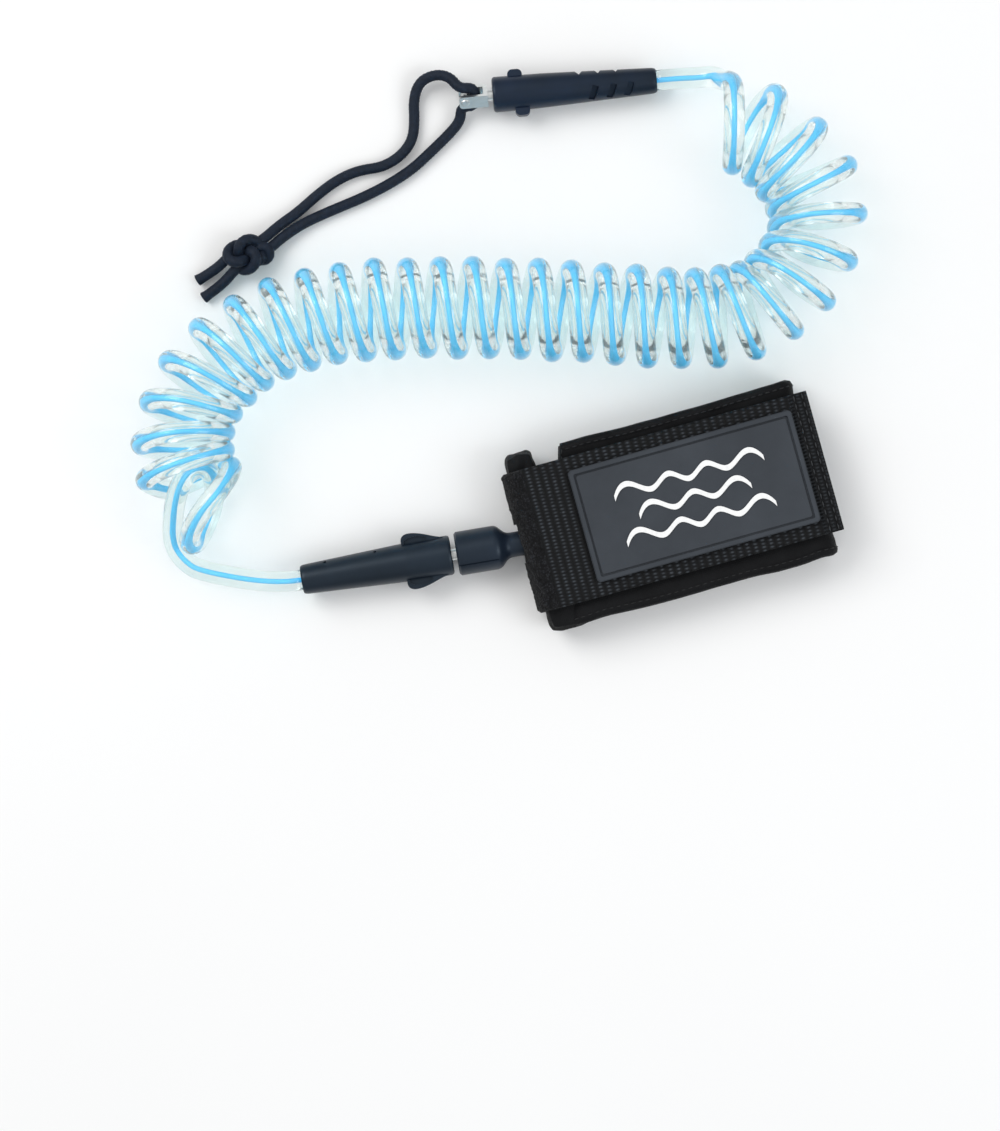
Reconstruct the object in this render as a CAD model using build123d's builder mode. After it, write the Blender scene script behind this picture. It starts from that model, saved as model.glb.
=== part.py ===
from build123d import *
import math
import os

# A coiled leash for a bodyboard or paddle board: a clear coiled cord with a swivel at each
# end, a string loop that ties to the board's plug, and a padded ankle cuff.
#
# Millimetres. The origin is the centre of the strap on the cuff's resting face.
# +X runs along the cuff away from the cord, +Y across it towards the coil, +Z is up.

os.makedirs("parts", exist_ok=True)

# ---- driving dimensions ---------------------------------------------------------------

# cord and coil
CORD_RADIUS = 3.5
COIL_RADIUS = 17.35                # outside of the coil's turns

# cuff, as it lies closed and flat
STRAP_WIDTH = 48.5
STRAP_THICKNESS = 1.6
STRAP_END_X = 53.0
FOLD_X = -53.0                     # outside of the left fold
WRAP_LEFT_X = -44.0
WRAP_RIGHT_X = 50.0
WRAP_FRONT_Y = -32.0
WRAP_BACK_Y = 29.5
WRAP_HEIGHT = 15.5
FOAM_THICKNESS = 4.8
NOTCH_X = -32.0                    # the back edge of the foam starts here
BINDING_THICKNESS = 1.0
PANEL_THICKNESS = 0.8              # hook panel and loop panel
BODY_GAP = 0.3                     # between pieces that move past each other
FLAP_HINGE_X = -45.5
FLAP_HINGE_GAP = 0.9               # from the hinge line to each end of webbing
BADGE_LENGTH = 78.0
BADGE_WIDTH = 39.0
BADGE_THICKNESS = 1.6
BADGE_CENTRE_X = 7.4
EMBLEM_HEIGHT = 0.5

# swivels: lengths are measured along the swivel's axis from its pivot or eye
PIN_RADIUS = 2.0
RUNNING_CLEARANCE = 0.06
HEAD_RADIUS = 3.0
HEAD_THICKNESS = 2.4
WASHER_RADIUS = 3.1
WASHER_THICKNESS = 0.6
CHAMBER_RADIUS = 3.3
CHAMBER_LENGTH = 9.0
BARREL_RADIUS = 4.0
BARREL_LENGTH = 17.0
BARREL_WALL = 4.0                  # the end wall that carries the pin
MOUTH_LENGTH = 2.0                 # rubber lip in front of the barrel
MOUTH_RADIUS = 2.5
FERRULE_RADIUS = 4.1
FERRULE_LENGTH = 8.6
FERRULE_BASE = 1.2

# cuff end
AXIS_HEIGHT = 8.5
HORN_PIVOT = (-49.0, 0.0, AXIS_HEIGHT)
HORN_HEADING = 174.0               # degrees from +X, from the pivot towards the cord
HORN_COLLAR_START = 12.4
HORN_COLLAR_END = 26.1
CUFF_BOOT_START = 27.8
CUFF_BOOT_LENGTH = 51.7
CUFF_BOOT_WIDE_RADIUS = 6.8
CUFF_BOOT_NARROW_RADIUS = 5.1
BAR_RADIUS = 1.6
BAR_LENGTH = 22.0

# board end
EYE = (-30.7, 152.0, 7.0)
BOARD_HEADING = -10.4              # degrees from +X, from the eye towards the cord
BOARD_BOOT_START = 9.5
BOARD_BOOT_LENGTH = 56.0
BOARD_BOOT_WIDE_RADIUS = 6.0
BOARD_BOOT_NARROW_RADIUS = 4.4
STIRRUP_LEAN = 41.0                # degrees from upright to the cross pin
STIRRUP_GAP = 4.8
LEG_WIDTH = 4.4
LEG_THICKNESS = 1.3
CROSS_PIN_RADIUS = 1.4

# string
STRING_RADIUS = 1.8
STRING_BEND = 3.6                  # centre of the cross pin to the string's centre line
KNOT_CENTRE = (-117.4, 120.6, 6.4)

# ---- routes ---------------------------------------------------------------------------

# centre line of the coil, from the board end to the cuff end
COIL_ROUTE = [
    (52.9, 118.3),
    (62.0, 115.8),
    (73.9, 100.8),
    (74.8, 81.7),
    (64.2, 65.0),
    (45.5, 55.0),
    (25.5, 56.8),
    (6.0, 63.5),
    (-16.0, 71.5),
    (-39.5, 79.0),
    (-63.5, 85.8),
    (-88.0, 91.5),
    (-112.5, 93.0),
    (-134.5, 87.0),
    (-150.0, 74.0),
    (-156.2, 58.0),
    (-155.6, 45.0),
]

# where each lead meets the coil's end face: sideways and up from the face's centre
CUFF_ENTRY = (-10.5, 7.0)
BOARD_ENTRY = (-12.5, -5.0)
ENTRY_RUN = 7.5                    # the last, level run of each lead

# the leads leave the boots straight, and the longer one then turns up to the coil
CUFF_MOUTH_RUN = 9.0
BOARD_MOUTH_RUN = 7.6
CUFF_LEAD = [
    (-145.8, 11.4, 8.4),
    (-155.4, 16.0, 10.0),
    (-162.2, 22.8, 14.0),
    (-165.4, 30.0, 19.5),
]

# the string from the knot to the eye, and from the eye back to the knot
UPPER_STRAND = [
    (-110.6, 123.6, 5.4),
    (-103.4, 127.4, 3.2),
    (-96.0, 130.2, 2.0),
    (-87.6, 134.4, 2.0),
    (-79.6, 137.4, 2.0),
    (-72.0, 138.4, 1.9),
    (-64.0, 137.3, 1.9),
    (-56.8, 139.4, 1.9),
    (-51.6, 143.6, 2.0),
    (-49.2, 150.0, 2.2),
    (-47.8, 156.4, 2.9),
    (-44.4, 161.6, 4.2),
    (-38.6, 162.6, 5.8),
    (-33.9, 160.2, 7.6),
]
LOWER_STRAND = [
    (-34.2, 145.3, 2.7),
    (-39.6, 141.8, 2.0),
    (-46.6, 138.0, 1.9),
    (-54.4, 133.9, 1.9),
    (-63.6, 131.0, 1.9),
    (-73.6, 129.0, 1.9),
    (-84.6, 127.7, 1.9),
    (-94.6, 126.2, 2.0),
    (-102.6, 123.6, 3.0),
    (-110.4, 119.6, 4.8),
]
EYE_EXIT = 1.6                     # how far the strands run straight past the cross pin
TAIL_LEFT = [(-122.6, 121.6, 5.2), (-128.8, 118.4, 3.2), (-135.6, 116.8, 2.0)]
TAIL_RIGHT = [(-121.6, 117.0, 5.0), (-127.8, 112.9, 3.2), (-135.2, 110.5, 2.0)]


# ---- helpers --------------------------------------------------------------------------

def save(part, name):
    """Label a finished part and write it."""
    part.label = name
    export_step(part, f"parts/{name}.step")


def swivel_plane(origin, heading):
    """A level plane at origin whose x runs along the swivel's axis."""
    x_dir = (math.cos(math.radians(heading)), math.sin(math.radians(heading)), 0)
    return Plane(origin=origin, x_dir=x_dir, z_dir=(0, 0, 1))


def on_axis(plane, distance):
    """The point at a distance along a swivel's axis."""
    return plane.from_local_coords(Vector(distance, 0, 0))


def bend_radii(points, end_share=0.45):
    """The tangent arc that the runs beside each inner point leave room for.

    An arc takes 0.45 of each run that it shares, and end_share of the first or last run.
    """
    radii = []
    last = len(points) - 3
    for place, (before, here, after) in enumerate(zip(points, points[1:], points[2:])):
        run_in = Vector(*here) - Vector(*before)
        run_out = Vector(*after) - Vector(*here)
        room_in = run_in.length * (end_share if place == 0 else 0.45)
        room_out = run_out.length * (end_share if place == last else 0.45)
        turn = math.radians(run_in.get_angle(run_out))
        radii.append(min(room_in, room_out) / math.tan(turn / 2))
    return radii


def tube(name, points, radius, end_share=0.45):
    """A round tube along straight runs joined by tangent arcs."""
    radii = bend_radii(points, end_share)
    with BuildPart() as part:
        with BuildLine() as path:
            if radii:
                FilletPolyline(*points, radius=radii)
            else:
                Line(*points)
        with BuildSketch(Plane(origin=path.line @ 0, z_dir=path.line % 0)):
            Circle(radius)
        sweep()
    length = sum(edge.length for edge in path.edges())
    ratio = part.part.volume / (math.pi * radius ** 2 * length)
    print(f"{name}: length {length:.1f}, radii {[round(r, 1) for r in radii]}, volume ratio {ratio:.4f}")
    save(part.part, name)


def ring_of_revolution(plane, outline):
    """Turn a closed outline of (along, radius) points about a swivel's axis."""
    with BuildPart() as part:
        with BuildSketch(plane):
            with BuildLine():
                Polyline(*outline, close=True)
            make_face()
        revolve(axis=Axis(plane.origin, plane.x_dir))
    return part.part


# ---- swivels: the pieces inside each boot ---------------------------------------------

def swivel_inside(end, plane, start, pin_foot):
    """Barrel, headed pin, washer and crimped cord cup, behind a boot mouth at start."""
    barrel_start = start + MOUTH_LENGTH
    barrel_end = barrel_start + BARREL_LENGTH
    chamber_start = barrel_start + BARREL_WALL
    chamber_end = chamber_start + CHAMBER_LENGTH
    bore = PIN_RADIUS + RUNNING_CLEARANCE

    barrel = ring_of_revolution(plane, [
        (barrel_start, bore),
        (barrel_start, BARREL_RADIUS),
        (barrel_end, BARREL_RADIUS),
        (barrel_end, 0),
        (chamber_end, 0),
        (chamber_end, CHAMBER_RADIUS),
        (chamber_start, CHAMBER_RADIUS),
        (chamber_start, bore),
    ])
    save(barrel, f"{end}_swivel_barrel")

    washer_start = chamber_start + BODY_GAP
    washer = ring_of_revolution(plane, [
        (washer_start, bore),
        (washer_start, WASHER_RADIUS),
        (washer_start + WASHER_THICKNESS, WASHER_RADIUS),
        (washer_start + WASHER_THICKNESS, bore),
    ])
    save(washer, f"{end}_swivel_washer")

    head_start = washer_start + WASHER_THICKNESS + BODY_GAP
    pin = ring_of_revolution(plane, [
        (pin_foot, 0),
        (pin_foot, PIN_RADIUS),
        (head_start, PIN_RADIUS),
        (head_start, HEAD_RADIUS),
        (head_start + HEAD_THICKNESS, HEAD_RADIUS),
        (head_start + HEAD_THICKNESS, 0),
    ])
    save(pin, f"{end}_swivel_pin")

    ferrule = ring_of_revolution(plane, [
        (barrel_end, 0),
        (barrel_end, FERRULE_RADIUS),
        (barrel_end + FERRULE_LENGTH, FERRULE_RADIUS),
        (barrel_end + FERRULE_LENGTH, CORD_RADIUS),
        (barrel_end + FERRULE_BASE, CORD_RADIUS),
        (barrel_end + FERRULE_BASE, 0),
    ])
    save(ferrule, f"{end}_cord_ferrule")
    return barrel_end + FERRULE_BASE


def boot_shell(plane, start, length, wide_radius, narrow_radius):
    """The moulded rubber sleeve over a swivel and the end of the cord."""
    barrel_start = start + MOUTH_LENGTH
    barrel_end = barrel_start + BARREL_LENGTH
    ferrule_end = barrel_end + FERRULE_LENGTH
    end = start + length
    mouth_edge = 0.9
    rounding = [
        (end - 2.0 * (1 - math.sin(math.radians(a))), narrow_radius - 0.7 * (1 - math.cos(math.radians(a))))
        for a in (0, 22.5, 45, 67.5, 90)
    ]
    return ring_of_revolution(plane, [
        (start, MOUTH_RADIUS),
        (start, wide_radius - mouth_edge),
        (start + 0.3 * mouth_edge, wide_radius - 0.3 * mouth_edge),
        (start + mouth_edge, wide_radius),
        (start + 0.3 * length, wide_radius - 0.1 * (wide_radius - narrow_radius)),
        *rounding,
        (end, CORD_RADIUS),
        (ferrule_end, CORD_RADIUS),
        (ferrule_end, FERRULE_RADIUS),
        (barrel_end, FERRULE_RADIUS),
        (barrel_end, BARREL_RADIUS),
        (barrel_start, BARREL_RADIUS),
        (barrel_start, MOUTH_RADIUS),
    ])


# ---- cuff end: boot, horn and its bar -------------------------------------------------

cuff_axis = swivel_plane(HORN_PIVOT, HORN_HEADING)
cuff_cord_start = swivel_inside("cuff", cuff_axis, CUFF_BOOT_START, HORN_COLLAR_START + 3)


def cuff_boot():
    """Tapered boot with a grip ear on each side of its wide end."""
    shell = boot_shell(
        cuff_axis, CUFF_BOOT_START, CUFF_BOOT_LENGTH, CUFF_BOOT_WIDE_RADIUS, CUFF_BOOT_NARROW_RADIUS
    )
    ear_start = CUFF_BOOT_START + 2.0
    ear_peak = CUFF_BOOT_START + 10.6
    ear_end = CUFF_BOOT_START + 16.4
    ear_reach = 9.2
    ear_root = 5.0
    ear_thickness = 5.0
    rim_width = 0.9
    recess_depth = 1.1
    with BuildPart() as boot:
        add(shell)
        with BuildSketch(cuff_axis.offset(-ear_thickness / 2)):
            with BuildLine():
                Line((ear_end, ear_root), (ear_start, ear_root))
                Line((ear_start, ear_root), (ear_start, CUFF_BOOT_WIDE_RADIUS - 0.3))
                Spline(
                    (ear_start, CUFF_BOOT_WIDE_RADIUS - 0.3),
                    (ear_peak, ear_reach),
                    (ear_end, ear_root + 1.9),
                    tangents=[(1.0, 0.22), (0.0, -1.0)],
                )
                Line((ear_end, ear_root + 1.9), (ear_end, ear_root))
            make_face()
            mirror(about=Plane.XZ)
        extrude(amount=ear_thickness)
        # a long recess inside the rim, in each face of each ear
        for side in (-1, 1):
            recess_plane = cuff_axis.offset(side * (ear_thickness / 2 - recess_depth))
            with BuildSketch(recess_plane):
                for across in (-1, 1):
                    with BuildLine():
                        Polyline(
                            (ear_start + 5.6, across * (ear_root + 1.1)),
                            (ear_start + 5.6, across * (ear_reach - rim_width - 0.8)),
                            (ear_peak, across * (ear_reach - rim_width)),
                            (ear_end - rim_width - 1.6, across * (ear_reach - rim_width - 0.3)),
                            (ear_end - rim_width, across * (ear_root + 2.2)),
                            (ear_end - rim_width, across * (ear_root + 1.1)),
                            close=True,
                        )
                    make_face()
            extrude(amount=side * recess_depth, mode=Mode.SUBTRACT)
        # two vent holes on the coil's side of the boot
        for distance in (25.0, 42.4):
            vent = Plane(
                origin=on_axis(cuff_axis, CUFF_BOOT_START + distance),
                x_dir=cuff_axis.x_dir,
                z_dir=(0, math.sin(math.radians(60)), math.cos(math.radians(60))),
            )
            with BuildSketch(vent.offset(FERRULE_RADIUS + 0.5)):
                Circle(0.6)
            extrude(amount=4.0, mode=Mode.SUBTRACT)
    save(boot.part, "cuff_boot")


def horn():
    """Moulded collar with a necked-down eye that turns on the bar in the cuff's fold."""
    neck_radius = 4.25
    collar_radius = 7.5
    eye_radius = 3.4
    shoulder_start = 7.2
    shoulder_end = HORN_COLLAR_START + 0.8
    with BuildPart() as part:
        with BuildSketch(cuff_axis):
            with BuildLine():
                Polyline((0, 0), (0, eye_radius), (2.0, neck_radius), (shoulder_start, neck_radius))
                Spline(
                    (shoulder_start, neck_radius),
                    (shoulder_end, collar_radius),
                    tangents=[(1.0, 0.0), (1.0, 0.0)],
                )
                Polyline(
                    (shoulder_end, collar_radius),
                    (HORN_COLLAR_END - 0.7, collar_radius),
                    (HORN_COLLAR_END, collar_radius - 0.7),
                    (HORN_COLLAR_END, PIN_RADIUS),
                    (HORN_COLLAR_START + 3, PIN_RADIUS),
                    (HORN_COLLAR_START + 3, 0),
                    (0, 0),
                )
            make_face()
        revolve(axis=Axis(cuff_axis.origin, cuff_axis.x_dir))
        # the eye: a short boss across the end, along the bar
        with BuildSketch(Plane.XZ.offset(-5.5)):
            with Locations((HORN_PIVOT[0], HORN_PIVOT[2])):
                Circle(eye_radius)
        extrude(amount=11.0)
        with BuildSketch(Plane.XZ.offset(-12)):
            with Locations((HORN_PIVOT[0], HORN_PIVOT[2])):
                Circle(BAR_RADIUS + RUNNING_CLEARANCE)
        extrude(amount=24.0, mode=Mode.SUBTRACT)
        # the groove left where the two halves of the mould met
        groove_turn = math.radians(34)
        groove_normal = cuff_axis.y_dir * math.sin(groove_turn) + Vector(0, 0, 1) * math.cos(groove_turn)
        groove_plane = Plane(origin=cuff_axis.origin, x_dir=cuff_axis.x_dir, z_dir=groove_normal)
        groove_middle = (shoulder_end + HORN_COLLAR_END) / 2
        for side in (-1, 1):
            with BuildSketch(groove_plane.offset(side * (collar_radius - 0.4))):
                with Locations((groove_middle, 0)):
                    Rectangle(HORN_COLLAR_END - shoulder_end + 2, 0.6)
            extrude(amount=side * 1.0, mode=Mode.SUBTRACT)
    save(part.part, "horn")


def horn_bar():
    """Steel bar across the fold that the horn's eye turns on."""
    with BuildPart() as part:
        with BuildSketch(Plane.XZ.offset(-BAR_LENGTH / 2)):
            with Locations((HORN_PIVOT[0], HORN_PIVOT[2])):
                Circle(BAR_RADIUS)
        extrude(amount=BAR_LENGTH)
    save(part.part, "horn_bar")


def horn_tab():
    """Nylon saddle in the fold: two lugs that hold the bar, on one back plate."""
    lug_inner_y = 6.2
    lug_outer_y = BAR_LENGTH / 2
    plate_x = WRAP_LEFT_X - 1.2
    lug_left_x = FOLD_X + STRAP_THICKNESS + BODY_GAP
    with BuildPart() as part:
        with BuildSketch(Plane.XY.offset(AXIS_HEIGHT - 3.4)):
            with Locations(((plate_x + WRAP_LEFT_X) / 2, 0)):
                Rectangle(WRAP_LEFT_X - plate_x, 2 * lug_outer_y)
            lug_centre_y = (lug_inner_y + lug_outer_y) / 2
            with Locations(
                ((lug_left_x + plate_x) / 2, lug_centre_y), ((lug_left_x + plate_x) / 2, -lug_centre_y)
            ):
                Rectangle(plate_x - lug_left_x, lug_outer_y - lug_inner_y)
        extrude(amount=6.8)
        with BuildSketch(Plane.XZ.offset(-BAR_LENGTH)):
            with Locations((HORN_PIVOT[0], HORN_PIVOT[2])):
                Circle(BAR_RADIUS)
        extrude(amount=2 * BAR_LENGTH, mode=Mode.SUBTRACT)
    save(part.part, "horn_tab")


# ---- ankle cuff -----------------------------------------------------------------------

LOOP_TOP = WRAP_HEIGHT + PANEL_THICKNESS
HOOK_BOTTOM = LOOP_TOP + BODY_GAP
STRAP_BOTTOM = HOOK_BOTTOM + PANEL_THICKNESS
STRAP_TOP = STRAP_BOTTOM + STRAP_THICKNESS


def wrap_slice(from_y, to_y):
    """A stretch of the flattened foam tube between two places across the cuff."""
    length = WRAP_RIGHT_X - WRAP_LEFT_X
    middle = (WRAP_LEFT_X + WRAP_RIGHT_X) / 2
    with BuildPart() as part:
        with BuildSketch(Plane.XZ.offset(-to_y)):
            with Locations((middle, WRAP_HEIGHT / 2)):
                RectangleRounded(length, WRAP_HEIGHT, 5.2)
                RectangleRounded(
                    length - 2 * FOAM_THICKNESS,
                    WRAP_HEIGHT - 2 * FOAM_THICKNESS,
                    2.4,
                    mode=Mode.SUBTRACT,
                )
        extrude(amount=to_y - from_y)
        # the back edge starts further along than the front edge
        with BuildSketch(Plane.XY):
            with Locations(((WRAP_LEFT_X + NOTCH_X) / 2, STRAP_WIDTH / 2 + 10)):
                Rectangle(NOTCH_X - WRAP_LEFT_X, 20)
        extrude(amount=WRAP_HEIGHT, mode=Mode.SUBTRACT)
    return part.part


def cuff_wrap():
    """Foam wrap that goes round the ankle, with a binding tape along each open edge."""
    foam = wrap_slice(WRAP_FRONT_Y + BINDING_THICKNESS, WRAP_BACK_Y - BINDING_THICKNESS)
    save(foam, "cuff_wrap")
    save(wrap_slice(WRAP_FRONT_Y, WRAP_FRONT_Y + BINDING_THICKNESS), "front_binding")
    save(wrap_slice(WRAP_BACK_Y - BINDING_THICKNESS, WRAP_BACK_Y), "back_binding")


def flat_panel(name, from_x, to_x, width, bottom, thickness, corner):
    """A thin level panel centred across the strap."""
    with BuildPart() as part:
        with BuildSketch(Plane.XY.offset(bottom)):
            with Locations(((from_x + to_x) / 2, 0)):
                RectangleRounded(to_x - from_x, width, corner)
        extrude(amount=thickness)
    save(part.part, name)


def fold_webbing():
    """Webbing that runs up round the left fold, with a window for the horn's neck."""
    end_x = FLAP_HINGE_X - FLAP_HINGE_GAP
    bottom_x = WRAP_LEFT_X - 0.2
    outer = 6.0
    inner = outer - STRAP_THICKNESS
    with BuildPart() as part:
        with BuildSketch(Plane.XZ.offset(-STRAP_WIDTH / 2)):
            with BuildLine():
                Line((end_x, STRAP_TOP), (FOLD_X + outer, STRAP_TOP))
                RadiusArc((FOLD_X + outer, STRAP_TOP), (FOLD_X, STRAP_TOP - outer), -outer)
                Line((FOLD_X, STRAP_TOP - outer), (FOLD_X, outer))
                RadiusArc((FOLD_X, outer), (FOLD_X + outer, 0), -outer)
                Line((FOLD_X + outer, 0), (bottom_x, 0))
                Line((bottom_x, 0), (bottom_x, STRAP_THICKNESS))
                Line((bottom_x, STRAP_THICKNESS), (FOLD_X + outer, STRAP_THICKNESS))
                RadiusArc(
                    (FOLD_X + outer, STRAP_THICKNESS), (FOLD_X + STRAP_THICKNESS, outer), inner
                )
                Line(
                    (FOLD_X + STRAP_THICKNESS, outer), (FOLD_X + STRAP_THICKNESS, STRAP_TOP - outer)
                )
                RadiusArc(
                    (FOLD_X + STRAP_THICKNESS, STRAP_TOP - outer),
                    (FOLD_X + outer, STRAP_TOP - STRAP_THICKNESS),
                    inner,
                )
                Line((FOLD_X + outer, STRAP_BOTTOM), (end_x, STRAP_BOTTOM))
                Line((end_x, STRAP_BOTTOM), (end_x, STRAP_TOP))
            make_face()
        extrude(amount=STRAP_WIDTH)
        with BuildSketch(Plane.YZ.offset(FOLD_X - 1)):
            with Locations((0, AXIS_HEIGHT)):
                RectangleRounded(12.4, 11.8, 3.0)
        extrude(amount=6.0, mode=Mode.SUBTRACT)
    save(part.part, "fold_webbing")


def fold_pad(name, from_y, to_y):
    """Foam that fills the fold beside the horn's saddle."""
    left_x = FOLD_X + STRAP_THICKNESS + BODY_GAP
    right_x = WRAP_LEFT_X - BODY_GAP
    height = STRAP_BOTTOM - 2 * STRAP_THICKNESS - 1.2
    with BuildPart() as part:
        with BuildSketch(Plane.XZ.offset(-to_y)):
            with Locations(((left_x + right_x) / 2, STRAP_BOTTOM / 2)):
                RectangleRounded(right_x - left_x, height, 3.4)
        extrude(amount=to_y - from_y)
    save(part.part, name)


def badge():
    """Flexible patch on the strap with a raised rim, and a plain wave emblem on it."""
    edge = 0.3
    rim = 1.3
    rim_height = 0.4
    groove = 0.8
    groove_depth = 0.6
    corner = 1.5
    with BuildPart() as part:
        with BuildSketch(Plane.XY.offset(STRAP_TOP)):
            with Locations((BADGE_CENTRE_X, 0)):
                RectangleRounded(BADGE_LENGTH, BADGE_WIDTH, corner)
        extrude(amount=BADGE_THICKNESS)
        with BuildSketch(Plane.XY.offset(STRAP_TOP + BADGE_THICKNESS)):
            with Locations((BADGE_CENTRE_X, 0)):
                RectangleRounded(BADGE_LENGTH - 2 * edge, BADGE_WIDTH - 2 * edge, corner)
                RectangleRounded(
                    BADGE_LENGTH - 2 * (edge + rim), BADGE_WIDTH - 2 * (edge + rim), corner / 2,
                    mode=Mode.SUBTRACT,
                )
        extrude(amount=rim_height)
        # a groove follows the rim on its inside
        inset = edge + rim
        with BuildSketch(Plane.XY.offset(STRAP_TOP + BADGE_THICKNESS - groove_depth)):
            with Locations((BADGE_CENTRE_X, 0)):
                RectangleRounded(BADGE_LENGTH - 2 * inset, BADGE_WIDTH - 2 * inset, corner / 2)
                RectangleRounded(
                    BADGE_LENGTH - 2 * (inset + groove), BADGE_WIDTH - 2 * (inset + groove), corner / 2,
                    mode=Mode.SUBTRACT,
                )
        extrude(amount=groove_depth, mode=Mode.SUBTRACT)
    save(part.part, "badge")


def badge_emblem():
    """Three raised wavy bars, one above the other."""
    wave_length = 13.0
    swing = 1.7
    bar = 1.9
    rows = [(8.0, 4), (0.0, 3), (-8.0, 4)]
    with BuildPart() as part:
        for row_y, waves in rows:
            start_x = BADGE_CENTRE_X - waves * wave_length / 2
            crests = []
            for step in range(2 * waves + 1):
                side = swing if step % 2 else -swing
                crests.append((start_x + step * wave_length / 2, row_y + side))
            upper = [(x, y + bar / 2) for x, y in crests]
            lower = [(x, y - bar / 2) for x, y in crests]
            with BuildSketch(Plane.XY.offset(STRAP_TOP + BADGE_THICKNESS)):
                with BuildLine():
                    Spline(*upper)
                    Spline(*lower)
                    Line(upper[0], lower[0])
                    Line(upper[-1], lower[-1])
                make_face()
            extrude(amount=EMBLEM_HEIGHT)
    save(part.part, "badge_emblem")


# ---- board end: boot, stirrup and cross pin -------------------------------------------

board_axis = swivel_plane(EYE, BOARD_HEADING)
STIRRUP_BASE_START = 6.3
STIRRUP_BASE_END = 7.8
board_cord_start = swivel_inside("board", board_axis, BOARD_BOOT_START, STIRRUP_BASE_END)
lean = math.radians(STIRRUP_LEAN)
board_side = board_axis.y_dir
pin_dir = board_side * -math.sin(lean) + Vector(0, 0, 1) * math.cos(lean)
leg_dir = pin_dir.cross(board_axis.x_dir)


def board_boot():
    """Tapered boot with flex slots near the cord and a small nub on each side."""
    shell = boot_shell(
        board_axis,
        BOARD_BOOT_START,
        BOARD_BOOT_LENGTH,
        BOARD_BOOT_WIDE_RADIUS,
        BOARD_BOOT_NARROW_RADIUS,
    )
    end = BOARD_BOOT_START + BOARD_BOOT_LENGTH
    nub_thickness = 4.2
    with BuildPart() as boot:
        add(shell)
        with BuildSketch(board_axis.offset(-nub_thickness / 2)):
            with Locations((BOARD_BOOT_START + 8.0, 5.4), (BOARD_BOOT_START + 9.8, -5.6)):
                RectangleRounded(5.0, 4.8, 1.7)
        extrude(amount=nub_thickness)
        # flex slots: V notches along one side, slanted slots along the other
        for distance in (26.3, 19.8, 13.7):
            with BuildSketch(board_axis.offset(-5)):
                with BuildLine():
                    Polyline(
                        (end - distance - 1.6, 5.6),
                        (end - distance, CORD_RADIUS + 0.2),
                        (end - distance + 1.6, 5.6),
                        close=True,
                    )
                make_face()
            extrude(amount=10, mode=Mode.SUBTRACT)
        slot_turn = math.radians(38)
        slot_face = Plane(
            origin=board_axis.origin,
            x_dir=board_axis.x_dir,
            z_dir=board_side * -math.sin(slot_turn) + Vector(0, 0, 1) * math.cos(slot_turn),
        )
        for distance in (21.8, 15.6, 9.6):
            with BuildSketch(slot_face.offset(CORD_RADIUS + 0.25)):
                with Locations(Location((end - distance, 0, 0), (0, 0, -20))):
                    Rectangle(2.2, 5.4)
            extrude(amount=3, mode=Mode.SUBTRACT)
    save(boot.part, "board_boot")


def stirrup():
    """Steel fork on the end of the swivel pin: a round base and two flat legs."""
    leg_end = -2.0
    leg_plane = Plane(origin=board_axis.origin, x_dir=board_axis.x_dir, z_dir=pin_dir)
    half = STIRRUP_GAP / 2 + LEG_THICKNESS
    with BuildPart() as part:
        with BuildSketch(leg_plane.offset(-half)):
            with Locations(((leg_end + STIRRUP_BASE_END) / 2, 0)):
                Rectangle(STIRRUP_BASE_END - leg_end, LEG_WIDTH)
        extrude(amount=2 * half)
        with BuildSketch(leg_plane.offset(-STIRRUP_GAP / 2)):
            with Locations(((leg_end + STIRRUP_BASE_START) / 2 - 1, 0)):
                Rectangle(STIRRUP_BASE_START - leg_end + 2, LEG_WIDTH + 2)
        extrude(amount=STIRRUP_GAP, mode=Mode.SUBTRACT)
        fork_ends = part.edges().filter_by(Axis((0, 0, 0), pin_dir)).sort_by(
            Axis(board_axis.origin, board_axis.x_dir)
        )[:4]
        fillet(fork_ends, 1.2)
        with BuildSketch(leg_plane.offset(-2 * half)):
            Circle(CROSS_PIN_RADIUS)
        extrude(amount=4 * half, mode=Mode.SUBTRACT)
    save(part.part, "stirrup")


def cross_pin():
    """Riveted pin across the stirrup that the string goes round."""
    half = STIRRUP_GAP / 2 + LEG_THICKNESS + 0.4
    with BuildPart() as part:
        with BuildSketch(Plane(origin=board_axis.origin - pin_dir * half, z_dir=pin_dir)):
            Circle(CROSS_PIN_RADIUS)
        extrude(amount=2 * half)
        chamfer(part.edges().filter_by(GeomType.CIRCLE), 0.3)
    save(part.part, "stirrup_cross_pin")


# ---- cord and string ------------------------------------------------------------------

def coil():
    """The outside of the coil as one thick tube along its centre line."""
    tube("cord_coil", [(x, y, COIL_RADIUS) for x, y in COIL_ROUTE], COIL_RADIUS, end_share=0.9)


def coil_entry(inner, outer, entry):
    """The last two points of a lead, square on the end face of the coil at outer."""
    facing = (Vector(*outer) - Vector(*inner)).normalized()
    across = Vector(-facing.Y, facing.X, 0)
    last = Vector(*outer, 0) + across * entry[0] + Vector(0, 0, COIL_RADIUS + entry[1])
    return [last + facing * ENTRY_RUN, last]


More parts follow.
